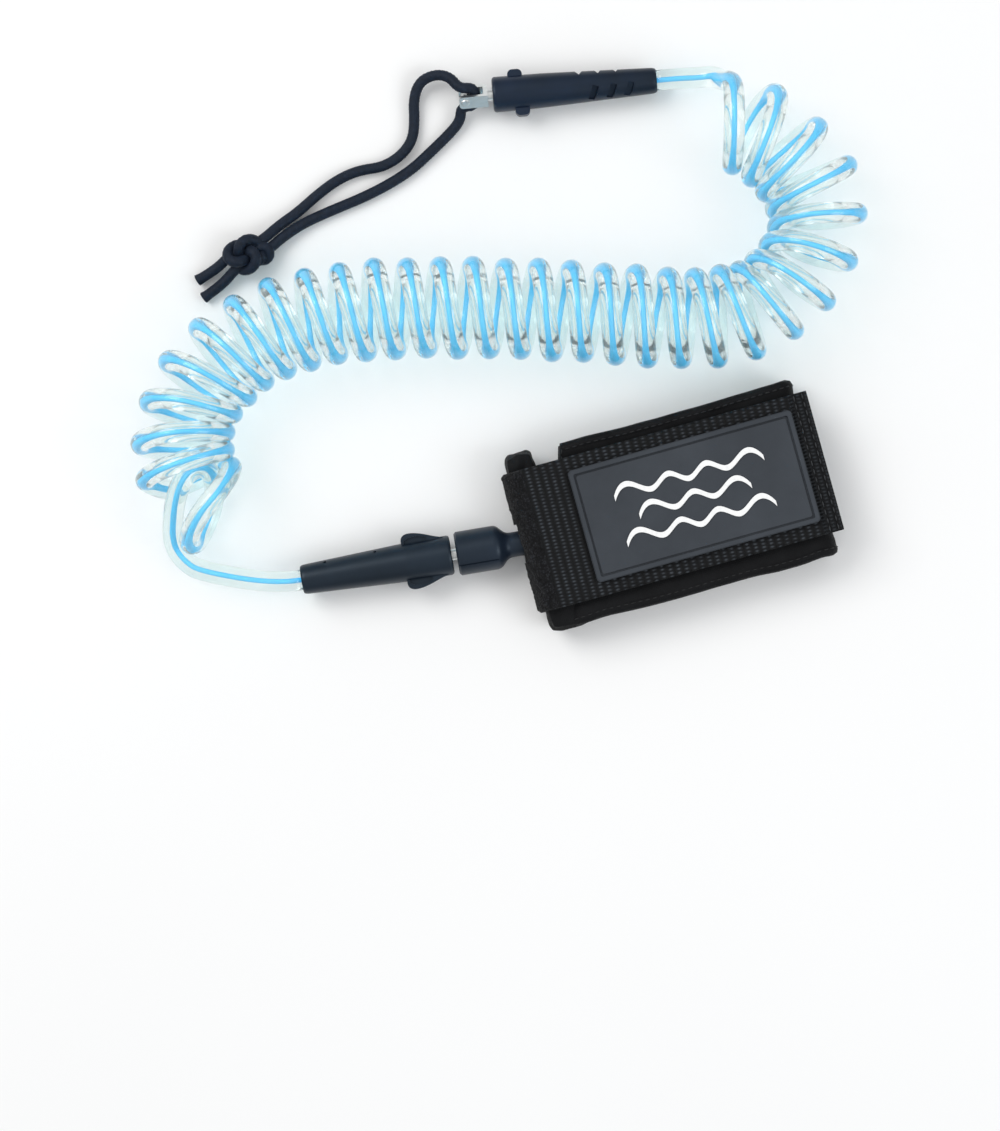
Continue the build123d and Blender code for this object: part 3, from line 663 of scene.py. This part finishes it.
def helix(centre):
    """The coil's turns as points round its centre line."""
    points = []
    # a spline of this order passes inside its control points, so they stand further out
    reach = (COIL_RADIUS - CORD_RADIUS) / (0.75 + 0.25 * math.cos(2 * math.pi / POINTS_PER_TURN))
    # the lead's points begin the first turn, and LAST_TURN's end the last one
    for step in range(1, TURNS * POINTS_PER_TURN - SLIPPED_POINTS):
        turn = step / POINTS_PER_TURN
        angle = 2 * math.pi * turn
        ahead = lean(turn) * (1 - math.cos(angle)) / 2
        distance = 1.4 * MM + PITCH * progress(turn) + ahead
        distance += 1.8 * MM * math.sin(math.pi * turn / TURNS)
        distance += drift(turn)
        middle = centre.place(distance)
        along = centre.heading(distance)
        side = Vector((-along.y, along.x, 0))
        loose = 1 + 0.018 * math.sin(2.3 * turn + 0.6)
        crowded = 0.10 * hump(turn, 5.5, 2.0) * (1 - math.cos(angle)) / 2
        offset = side * math.cos(angle) * (loose - crowded) + UP * math.sin(angle)
        middle = middle - side * tucked(turn)
        points.append(middle + offset * reach + Vector((0, 0, COIL_RADIUS - middle.z)))
    return points


def plain_tube(name, line, radius, sides, material, body, slot):
    """A smooth round tube with a ring at each point of a line, and closed ends."""
    vertices = []
    side = (line[1] - line[0]).orthogonal().normalized()
    last = len(line) - 1
    for i, here in enumerate(line):
        along = (line[min(i + 1, last)] - line[max(i - 1, 0)]).normalized()
        side = (side - along * side.dot(along)).normalized()
        other = along.cross(side)
        for k in range(sides):
            a = 2 * math.pi * k / sides
            vertices.append(here + (side * math.cos(a) + other * math.sin(a)) * radius)
    faces = tube_faces(last, sides) + tube_caps(last, sides)
    return new_object(name, vertices, faces, material, body, slot)


def cord_points():
    """Control points of the whole cord, from the board boot's mouth to the cuff boot's."""
    centre = Line(spline_line([mm(x, y, COIL_RADIUS / MM) for x, y in COIL_ROUTE], 24))
    points = [BOARD_MOUTH, BOARD_MOUTH + BOARD_ALONG * 7.6 * MM]
    points += [mm(*p) for p in BOARD_LEAD] + helix(centre)
    points += [mm(*p) for p in LAST_TURN + CUFF_LEAD]
    return points + [CUFF_MOUTH + CUFF_ALONG * 9.0 * MM, CUFF_MOUTH]


cord_line = spline_line(cord_points(), 7)
cord = plain_tube("coiled_cord", cord_line, CORD_RADIUS, 20, CLEAR, "cord", "clear_cord")
core = plain_tube("blue_core", cord_line, CORE_RADIUS, 10, CORE, "cord", "clear_cord")
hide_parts("cord_coil", "cord_lead_cuff", "cord_lead_board")


# ---- the string -----------------------------------------------------------------------

STRING_RADIUS = 1.8 * MM
STIRRUP_LEAN = math.radians(41.0)
PIN_DIR = Vector((
    math.sin(BOARD_HEADING) * math.sin(STIRRUP_LEAN),
    -math.cos(BOARD_HEADING) * math.sin(STIRRUP_LEAN),
    math.cos(STIRRUP_LEAN),
))
LEG_DIR = PIN_DIR.cross(BOARD_ALONG)
KNOT_CENTRE = mm(-117.4, 120.6, 6.4)

TAIL_LEFT = [(-122.6, 121.6, 5.2), (-128.8, 118.4, 3.2), (-135.6, 116.8, 2.0)]
TAIL_RIGHT = [(-121.6, 117.0, 5.0), (-127.8, 112.9, 3.2), (-135.2, 110.5, 2.0)]
UPPER_STRAND = [
    (-110.6, 123.6, 5.4), (-103.4, 127.4, 3.2), (-96.0, 130.2, 2.0), (-87.6, 134.4, 2.0),
    (-79.6, 137.4, 2.0), (-72.0, 138.4, 1.9), (-64.0, 137.3, 1.9), (-56.8, 139.4, 1.9),
    (-51.6, 143.6, 2.0), (-49.2, 150.0, 2.2), (-47.8, 156.4, 2.9), (-44.4, 161.6, 4.2),
    (-38.6, 162.6, 5.8), (-33.9, 160.2, 7.6),
]
LOWER_STRAND = [
    (-34.2, 145.3, 2.7), (-39.6, 141.8, 2.0), (-46.6, 138.0, 1.9), (-54.4, 133.9, 1.9),
    (-63.6, 131.0, 1.9), (-73.6, 129.0, 1.9), (-84.6, 127.7, 1.9), (-94.6, 126.2, 2.0),
    (-102.6, 123.6, 3.0), (-110.4, 119.6, 4.8),
]


BRAID_TWIST = 2420                      # radians of weave in a metre of string


def braid_height(along, angle, swell):
    """How far the braid's surface stands at a place, as a share of its radius."""
    twist = along * BRAID_TWIST
    weave = abs(math.cos(4 * angle + twist) * math.cos(4 * angle - twist))
    return 0.87 + 0.17 * weave ** 0.5 + swell


def braided_tube(line, radius, flare=0.0, closed_start=True):
    """Vertices and faces of a braided tube along a line, wider at its end by the flare."""
    step, sides = 0.36 * MM, 28
    count = max(8, int(line.length / step))
    vertices = []
    side = line.heading(0).orthogonal().normalized()
    for i in range(count + 1):
        distance = line.length * i / count
        here, along = line.place(distance), line.heading(distance)
        side = (side - along * side.dot(along)).normalized()
        other = along.cross(side)
        swell = flare * hump(line.length - distance, 0.0, 1.3 * MM)
        for k in range(sides):
            angle = 2 * math.pi * k / sides
            out = side * math.cos(angle) + other * math.sin(angle)
            vertices.append(here + out * radius * braid_height(distance, angle, swell))
    faces = tube_faces(count, sides)
    for closed, ring, place in ((closed_start, 0, 0.0), (True, count, line.length)):
        if closed:
            bulge = 0.3 * MM if ring else -0.3 * MM
            tip = len(vertices)
            vertices.append(line.place(place) + line.heading(place) * bulge)
            for k in range(sides):
                a, b = ring * sides + k, ring * sides + (k + 1) % sides
                faces.append((a, b, tip) if ring else (b, a, tip))
    return vertices, faces


def string():
    """The string from one tail through the knot, round the cross pin, and back."""
    reach, past = 3.6 * MM, 1.6 * MM
    turn = [
        EYE + LEG_DIR * across + BOARD_ALONG * along
        for across, along in ((reach, -past), (reach, reach), (-reach, reach), (-reach, -past))
    ]
    points = [mm(*p) for p in reversed(TAIL_LEFT)] + [mm(-117.2, 122.4, 6.2)]
    points += [mm(*p) for p in UPPER_STRAND] + turn + [mm(*p) for p in LOWER_STRAND]
    points += [mm(-116.4, 118.0, 5.8)] + [mm(*p) for p in TAIL_RIGHT]
    line = spline_line(points, 16)

    bend = EYE + BOARD_ALONG * reach
    split = min(range(len(line)), key=lambda i: (line[i] - bend).length)
    strands = []
    for name, run, nodes in (
        ("string_upper", line[split::-1], ("string_loop", "string_tail_left")),
        ("string_lower", line[split:], ("string_tail_right",)),
    ):
        path = Line(run)
        vertices, faces = braided_tube(path, STRING_RADIUS, flare=0.10, closed_start=False)
        obj = new_object(name, vertices, faces, STRING, "string", "string")
        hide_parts(*nodes)
        strands.append((obj, run, path.length))
    return strands


def knot():
    """An overhand knot drawn tight, with the doubled string's second turn beside the first."""
    parts = []
    turned = Matrix.Rotation(math.radians(14), 3, "Z")
    loops = [
        # size along and across the string, height, turn of the pattern, offset
        (2.05, 1.80, 2.35, 0.35, (0.0, 0.0, 0.0)),
        (1.30, 1.25, 1.15, 1.35, (4.4, -1.6, -1.4)),
    ]
    for long, wide, high, twist, offset in loops:
        points = []
        for i in range(40):
            t = 2 * math.pi * i / 36 - 0.3
            reach = 2 + math.cos(3 * t)
            x, y = reach * math.cos(2 * t + twist), reach * math.sin(2 * t + twist)
            place = Vector((x * long, y * wide, math.sin(3 * t) * high)) + Vector(offset)
            points.append(KNOT_CENTRE + turned @ place * MM)
        parts.append(braided_tube(Line(spline_line(points, 8)), STRING_RADIUS * 1.02))
    obj = new_object("overhand_knot", *joined(parts), STRING, "string", "string")
    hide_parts("string_knot")
    return obj


tied = knot()
for strand, path, length in string():
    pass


# ---- ankle cuff: foam -----------------------------------------------------------------

STRAP_HALF = 24.25 * MM
STRAP_THICKNESS = 1.6 * MM
STRAP_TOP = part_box("strap_webbing")[1].z
FOAM = 4.8 * MM
WRAP_LOW, WRAP_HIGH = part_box("cuff_wrap")
FRONT_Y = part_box("front_binding")[0].y
BACK_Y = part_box("back_binding")[1].y
NOTCH_X = -32.0 * MM                    # the back edge steps out here, from this far back
NOTCH_Y = 24.0 * MM


def rounded_loop(left, right, bottom, top, radius, spacing):
    """Points and outward normals round a rounded rectangle in X and Z, evenly spaced."""
    corners = [
        (right - radius, bottom + radius, -90), (right - radius, top - radius, 0),
        (left + radius, top - radius, 90), (left + radius, bottom + radius, 180),
    ]
    dense = []
    for x, z, start in corners:
        for i in range(25):
            a = math.radians(start + 90 * i / 24)
            dense.append((Vector((x + radius * math.cos(a), 0, z + radius * math.sin(a))),
                          Vector((math.cos(a), 0, math.sin(a)))))
    dense.append(dense[0])
    places, normals = Line([p for p, _ in dense]), [m for _, m in dense]
    count = int(places.length / spacing)
    loop = []
    for i in range(count):
        d = places.length * i / count
        k = max(j for j in range(len(places.at)) if places.at[j] <= d + 1e-12)
        k = min(k, len(dense) - 2)
        share = (d - places.at[k]) / max(places.at[k + 1] - places.at[k], 1e-9)
        loop.append((places.place(d), normals[k].lerp(normals[k + 1], share).normalized()))
    return loop


def wrap_loop():
    """The way round the flattened foam tube."""
    return rounded_loop(WRAP_LOW.x, WRAP_HIGH.x, 0.0, WRAP_HIGH.z, 5.2 * MM, 1.5 * MM)


def foam_edge(x, sign):
    """Where the foam's front (-1) or back (1) edge lies, wandering a little along the cuff."""
    seed = 8.7 if sign > 0 else 3.1
    long, short = Vector((x / (21 * MM), seed, 0.0)), Vector((x / (8 * MM), seed, 4.0))
    wander = (noise.noise(long) * 1.1 + noise.noise(short) * 0.25) * MM
    if sign < 0:
        return FRONT_Y + 0.5 * MM + wander
    step_out = smooth_step(x, NOTCH_X - 1.2 * MM, NOTCH_X + 0.6 * MM)
    return NOTCH_Y + (BACK_Y - NOTCH_Y) * step_out - 0.5 * MM + wander


def foam_wrap():
    """The flattened foam tube: soft edges, a slight swell outside the strap, faint creases."""
    loop = wrap_loop()
    corner, lanes = 1.7 * MM, 34
    vertices = []
    for place, normal in loop:
        front, back = foam_edge(place.x, -1), foam_edge(place.x, 1)
        for outer in (True, False):
            for j in range(lanes):
                share = j / (lanes - 1)
                wave = math.cos(math.pi * (share if outer else 1 - share))
                # closer lanes near the edges
                y = front + (back - front) * (0.5 - 0.5 * wave * (0.75 + 0.25 * wave ** 2))
                near = min(y - front, back - y)
                depth = corner - math.sqrt(max(corner ** 2 - max(corner - near, 0.0) ** 2, 0.0))
                if outer:
                    outside = smooth_step(abs(y), 23.0 * MM, 27.0 * MM)
                    crease = noise.noise(Vector((place.x * 55, y * 160, place.z * 55 + 4.0)))
                    depth -= (outside * 0.45 - 0.18) * MM + crease * 0.30 * MM * (0.25 + outside)
                else:
                    depth = FOAM - depth
                point = place - normal * depth
                vertices.append((point.x, y, max(point.z, 0.05 * MM)))
    faces = hoop_faces(len(loop), 2 * lanes)
    obj = new_object("foam_wrap", vertices, faces, NEOPRENE, "cuff", "foam")
    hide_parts("cuff_wrap")


def stitch(at, along, up, length=1.7 * MM, width=0.42 * MM):
    """One raised stitch: a short lens of thread."""
    side = up.cross(along).normalized()
    vertices = []
    steps, sides = 5, 6
    for i in range(steps + 1):
        t = i / steps
        arch = math.sin(math.pi * t)
        centre = at + along * (t - 0.5) * length + up * (arch * 0.16 * MM - 0.05 * MM)
        r = width / 2 * (0.35 + 0.65 * arch)
        for k in range(sides):
            a = 2 * math.pi * k / sides
            vertices.append(centre + side * math.cos(a) * r + up * math.sin(a) * r)
    return vertices, tube_faces(steps, sides) + tube_caps(steps, sides)


def edge_binding(name, node, sign):
    """The tape folded over one open edge of the foam, with its line of stitches."""
    cover, rise, lip = 2.9 * MM, 0.32 * MM, 1.6 * MM
    profile = [
        # depth into the foam, distance in from its edge
        (0.0, cover), (-rise, cover - 0.35 * MM), (-rise * 1.15, lip),
        (0.4 * MM - rise * 0.9, 0.35 * MM), (lip, -rise), (FOAM - lip, -rise),
        (FOAM - 0.4 * MM + rise * 0.9, 0.35 * MM), (FOAM + rise, lip), (FOAM, cover),
    ]
    vertices, seam, normals = [], [], []
    for place, normal in wrap_loop():
        edge = foam_edge(place.x, sign)
        for depth, inward in profile:
            point = place - normal * depth
            vertices.append((point.x, edge - sign * inward, max(point.z, 0.02 * MM)))
        top = place + normal * (rise * 1.05)
        top.y = edge - sign * 2.1 * MM
        seam.append(top)
        normals.append(normal)
    faces = hoop_faces(len(seam), len(profile), turned=sign > 0)
    tape = new_object(name, vertices, faces, NEOPRENE, "cuff", "foam")
    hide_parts(node)

    parts = []
    path = Line(seam)
    count = int(path.length / (2.5 * MM))
    for i in range(count):
        d = path.length * (i + 0.5) / count
        here = path.place(d)
        nearest = min(range(len(seam)), key=lambda j: (seam[j] - here).length)
        if here.z > 1.5 * MM:
            parts.append(stitch(here, path.heading(d), normals[nearest]))
    new_object(name + "_stitches", *joined(parts), BLACK_THREAD, "cuff", "foam")


def fold_pads():
    """The foam rolled up in the fold, one roll each side of the saddle.

    Each roll is pumped up as cloth, so that it bulges and creases between the fold and the
    wrap, and then smoothed once.
    """
    for node, reach, seed in (("fold_pad_front", 8.5 * MM, 2.0), ("fold_pad_back", 3.2 * MM, 7.0)):
        low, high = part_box(node)
        high.x += reach
        centre, half = (low + high) / 2, (high - low) / 2
        bm = bmesh.new()
        bmesh.ops.create_cube(bm, size=2.0)
        bmesh.ops.subdivide_edges(bm, edges=bm.edges[:], cuts=15, use_grid_fill=True)
        for v in bm.verts:
            # a soft block: a cube pushed part of the way towards a ball
            out = v.co.normalized()
            block = Vector([max(-1.0, min(1.0, c)) for c in v.co.lerp(out * 1.16, 0.60)])
            wave = noise.noise(Vector((block.x * 1.9, block.y * 2.4, block.z * 2.0 + seed)))
            place = Vector([c + b * h for c, b, h in zip(centre, block, half)])
            v.co = place + out * (wave * 0.7 * MM)
        mesh = bpy.data.meshes.new(node + "_roll")
        bm.to_mesh(mesh)
        bm.free()
        obj = bpy.data.objects.new(node + "_roll", mesh)
        scene.collection.objects.link(obj)
        mesh.materials.append(NEOPRENE)
        pump(obj, low, high)
        obj.data.polygons.foreach_set("use_smooth", [True] * len(obj.data.polygons))
        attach(obj, "cuff")
        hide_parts(node)


CLOTH_FRAMES = 12
MOST_MOVE = 0.9 * MM                    # how far the pressure may push a vertex


def evaluated_mesh(obj):
    """A new mesh of an object as its modifiers leave it."""
    bpy.context.view_layer.update()
    return bpy.data.meshes.new_from_object(
        obj.evaluated_get(bpy.context.evaluated_depsgraph_get())
    )


def pump(obj, low, high):
    """Inflate a piece as cloth for a moment, keep it near its box, and subdivide it once."""
    cloth = obj.modifiers.new("cloth", "CLOTH").settings
    cloth.use_pressure = True
    cloth.uniform_pressure_force = 4.0
    cloth.tension_stiffness = 14.0
    cloth.compression_stiffness = 14.0
    cloth.shear_stiffness = 6.0
    cloth.bending_stiffness = 1.2
    cloth.mass = 0.3
    cloth.effector_weights.gravity = 0.0
    for number in range(1, CLOTH_FRAMES + 1):
        scene.frame_set(number)
    shaped = evaluated_mesh(obj)
    scene.frame_set(1)
    obj.modifiers.clear()
    for vertex, moved in zip(obj.data.vertices, shaped.vertices):
        step = moved.co - vertex.co
        if step.length > MOST_MOVE:
            step *= MOST_MOVE / step.length
        vertex.co += step
    bpy.data.meshes.remove(shaped)
    for vertex in obj.data.vertices:
        vertex.co.x = max(vertex.co.x, low.x - 0.1 * MM)
        vertex.co.z = min(max(vertex.co.z, 0.4 * MM), high.z + 0.9 * MM)
    smooth = obj.modifiers.new("smooth", "SUBSURF")
    smooth.levels = smooth.render_levels = 1
    fine = evaluated_mesh(obj)
    obj.modifiers.clear()
    rough, obj.data = obj.data, fine
    bpy.data.meshes.remove(rough)


# ---- ankle cuff: webbing --------------------------------------------------------------

def rib_height(along, across):
    """Height of the webbing's ribs, with a bead where each thread comes up."""
    rib = abs(math.sin(math.pi * along / RIB)) ** 0.8
    odd = math.floor(along / RIB) % 2
    bead = abs(math.sin(math.pi * (across + odd * BEAD / 2) / BEAD)) ** 0.6
    edge = smooth_step(STRAP_HALF - abs(across), 0.0, 0.5 * MM)
    return 0.34 * MM * rib * (0.55 + 0.45 * bead) * edge


def webbing_strip(name, path, from_along, height, step, material, open_end, keep=None):
    """A strip of webbing: a shaped outer face, a plain inner face, and closed edges.

    path is a Line in X and Z for the webbing's outer face, and its left-hand side is the
    outside. height gives the relief along and across, and keep says which places stay.
    The start (-1) or the end (1) is open: it carries on in the next strip.
    """
    rows = int(path.length / step)
    lanes = int(2 * STRAP_HALF / (0.42 * MM))
    vertices, coordinates = [], []
    for upper in (True, False):
        for i in range(rows + 1):
            d = path.length * i / rows
            here, along = path.place(d), path.heading(d)
            out = Vector((-along.z, 0, along.x))
            for j in range(lanes + 1):
                y = -STRAP_HALF + 2 * STRAP_HALF * j / lanes
                edge = 1 - smooth_step(STRAP_HALF - abs(y), 0.0, 0.7 * MM)
                if upper:
                    lift = height(from_along + d, y) - edge * 0.4 * MM
                else:
                    lift = edge * 0.4 * MM - STRAP_THICKNESS
                point = here + out * lift
                vertices.append((point.x, y, max(point.z, 0.02 * MM)))
                coordinates.append((from_along + d, y))
    hidden = {
        (i, j) for i in range(rows) for j in range(lanes)
        if keep and not keep(Vector(vertices[i * (lanes + 1) + j]))
    }
    faces = slab_faces(rows, lanes, hidden, rows if open_end > 0 else -1)
    faces = [(first, *reversed(others)) for first, *others in faces]
    return new_object(name, vertices, faces, material, slot="webbing", weave=coordinates)


FOLD_END_X = -46.9 * MM                 # where the fold's strip carries on in the strap's


def fold_path():
    """The webbing's outer face from underneath the cuff, up round the fold, to its top."""
    left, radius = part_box("fold_webbing")[0].x, 6.0 * MM
    points = [Vector((-44.2 * MM, 0, 0.0)), Vector((left + radius, 0, 0.0))]
    for centre_z, start in ((radius, 270), (STRAP_TOP - radius, 180)):
        centre = Vector((left + radius, 0, centre_z))
        for i in range(1, 13):
            a = math.radians(start - 90 * i / 12)
            points.append(centre + Vector((math.cos(a), 0, math.sin(a))) * radius)
        if start == 270:
            for i in range(1, 9):
                points.append(Vector((left, 0, radius + (STRAP_TOP - 2 * radius) * i / 9)))
    points.append(Vector((FOLD_END_X, 0, STRAP_TOP)))
    return Line(points)


def pile_height(along, across):
    """The brushed loop pile sewn round the fold, matted into slanting tufts."""
    tuft = Vector(((along + 0.6 * across) / (1.9 * MM), (across - 0.3 * along) / (3.4 * MM), 0.0))
    loops = Vector((along / (0.8 * MM), across / (0.8 * MM), 3.0))
    edge = smooth_step(STRAP_HALF - abs(across), 0.0, 0.8 * MM)
    rough = 0.55 * noise.noise(tuft) + 0.24 * noise.noise(loops) + 0.12 * noise.noise(loops * 2.3)
    return max(0.32 + rough, 0.0) * MM * edge


def cuff_webbing():
    """The webbing round the fold, with a window for the horn, and the strap over the cuff."""
    path = fold_path()
    window_x, window_y = -50.5 * MM, 6.6 * MM
    low_z, high_z = 1.9 * MM, 15.2 * MM

    def keep(point):
        inside = abs(point.y) < window_y and low_z < point.z < high_z
        return not (inside and point.x < window_x)

    fold = webbing_strip("fold_webbing_ribbed", path, 0.0, pile_height, 0.42 * MM, FUZZ, 1, keep)
    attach(fold, "cuff")
    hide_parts("fold_webbing")

    def height(along, across):
        past = smooth_step(along - path.length, 0.3 * MM, 1.3 * MM)
        return pile_height(along, across) * (1 - past) + rib_height(along, across) * past

    end_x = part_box("strap_webbing")[1].x
    top = Line([Vector((FOLD_END_X, 0, STRAP_TOP)), Vector((end_x, 0, STRAP_TOP))])
    strap = webbing_strip("strap_webbing_ribbed", top, path.length, height, 0.36 * MM, WEBBING, -1)
    # the pile round the fold ends in an uneven line on the strap
    strap.data.materials.append(FUZZ)
    for polygon in strap.data.polygons:
        if polygon.center.x < (-46.3 + 0.35 * math.sin(polygon.center.y / MM)) * MM:
            polygon.material_index = 1
    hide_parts("strap_webbing")
    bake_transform(strap)


def strap_end():
    """The strap's end, folded over and sewn down with two rows across."""
    low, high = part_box("strap_end")
    end_x = high.x + 0.2 * MM
    rows, lanes = 20, 116
    vertices, coordinates = [], []
    for upper in (True, False):
        for i in range(rows + 1):
            x = low.x + (end_x - low.x) * i / rows
            roll = 1 - smooth_step(min(x - low.x, end_x - x), 0.0, 1.1 * MM)
            rib = abs(math.sin(math.pi * x / (RIB * 0.5)))
            for j in range(lanes + 1):
                y = -STRAP_HALF + 2 * STRAP_HALF * j / lanes
                side = 1 - smooth_step(STRAP_HALF - abs(y), 0.0, 0.8 * MM)
                wavy = 0.22 * MM * rib * abs(math.sin(math.pi * y / BEAD)) ** 0.5
                top = high.z - (0.9 * MM * roll + 0.5 * MM * side) + wavy
                vertices.append((x, y, top if upper else low.z - 0.6 * MM))
                coordinates.append((x, y))
    obj = new_object(
        "strap_end_fold", vertices, slab_faces(rows, lanes), WEBBING_HALF_HIGHLIGHT, "flap", "webbing",
        coordinates,
    )
    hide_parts("strap_end")

    parts = []
    count, margin = 17, 1.6 * MM
    for x in (low.x + 1.5 * MM, high.x - 1.6 * MM):
        for i in range(count):
            y = -STRAP_HALF + margin + 2 * (STRAP_HALF - margin) * i / (count - 1)
            place = Vector((x, y, high.z + 0.12 * MM))
            parts.append(stitch(place, Vector((0, 1, 0)), UP, 2.0 * MM, 0.55 * MM))
    new_object("strap_end_stitches", *joined(parts), THREAD, "flap", "webbing")


def pile_panel(name, node, body, material, side):
    """A panel of hook or loop tape, its pile facing up or down."""
    low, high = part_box(node)
    step = 0.8 * MM
    rows, lanes = int((high.x - low.x) / step), int((high.y - low.y) / step)
    pile, back = (high.z, low.z) if side > 0 else (low.z, high.z)
    vertices = []
    for upper in (True, False):
        for i in range(rows + 1):
            x = low.x + (high.x - low.x) * i / rows
            for j in range(lanes + 1):
                y = low.y + (high.y - low.y) * j / lanes
                rim = smooth_step(min(x - low.x, high.x - x, y - low.y, high.y - y), 0.0, 1.4 * MM)
                rough = noise.noise(Vector((x * 1900, y * 1900, 0.0))) * 0.10 * MM
                z = pile - side * ((1 - rim) * 0.3 * MM + 0.12 * MM - rough)
                vertices.append((x, y, z if upper else back))
    faces = slab_faces(rows, lanes)
    if side < 0:
        faces = [tuple(reversed(f)) for f in faces]
    obj = new_object(name, vertices, faces, material, body, "hook_loop")
    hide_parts(node)


foam_wrap()
edge_binding("front_edge_tape", "front_binding", -1)
edge_binding("back_edge_tape", "back_binding", 1)
fold_pads()
cuff_webbing()
strap_end()
pile_panel("loop_pile_panel", "loop_panel", "cuff", FUZZ, 1)
pile_panel("hook_pile_panel", "hook_panel", "flap", HOOKS, -1)


# ---- materials of the carried-over parts ----------------------------------------------

def paint(material, *names):
    """Give CAD parts that are shown as they are a material of this file."""
    for name in names:
        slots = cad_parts[name].data.materials
        slots.clear()
        slots.append(material)


paint(BOOT, "cuff_boot")
paint(BOARD_RUBBER, "board_boot")
paint(HORN, "horn")
paint(NYLON, "horn_tab")
paint(STEEL, "stirrup", "stirrup_cross_pin", "cuff_swivel_pin", "board_swivel_pin", "horn_bar")
paint(BRASS, "cuff_swivel_washer", "cuff_swivel_barrel", "cuff_cord_ferrule")
paint(BRASS, "board_swivel_washer", "board_swivel_barrel", "board_cord_ferrule")
# the cord's end plugs take the core's material, and with it its faint painted glow
paint(CORE, "cord_end_cuff", "cord_end_board")
paint(BADGE, "badge")
paint(EMBLEM, "badge_emblem")
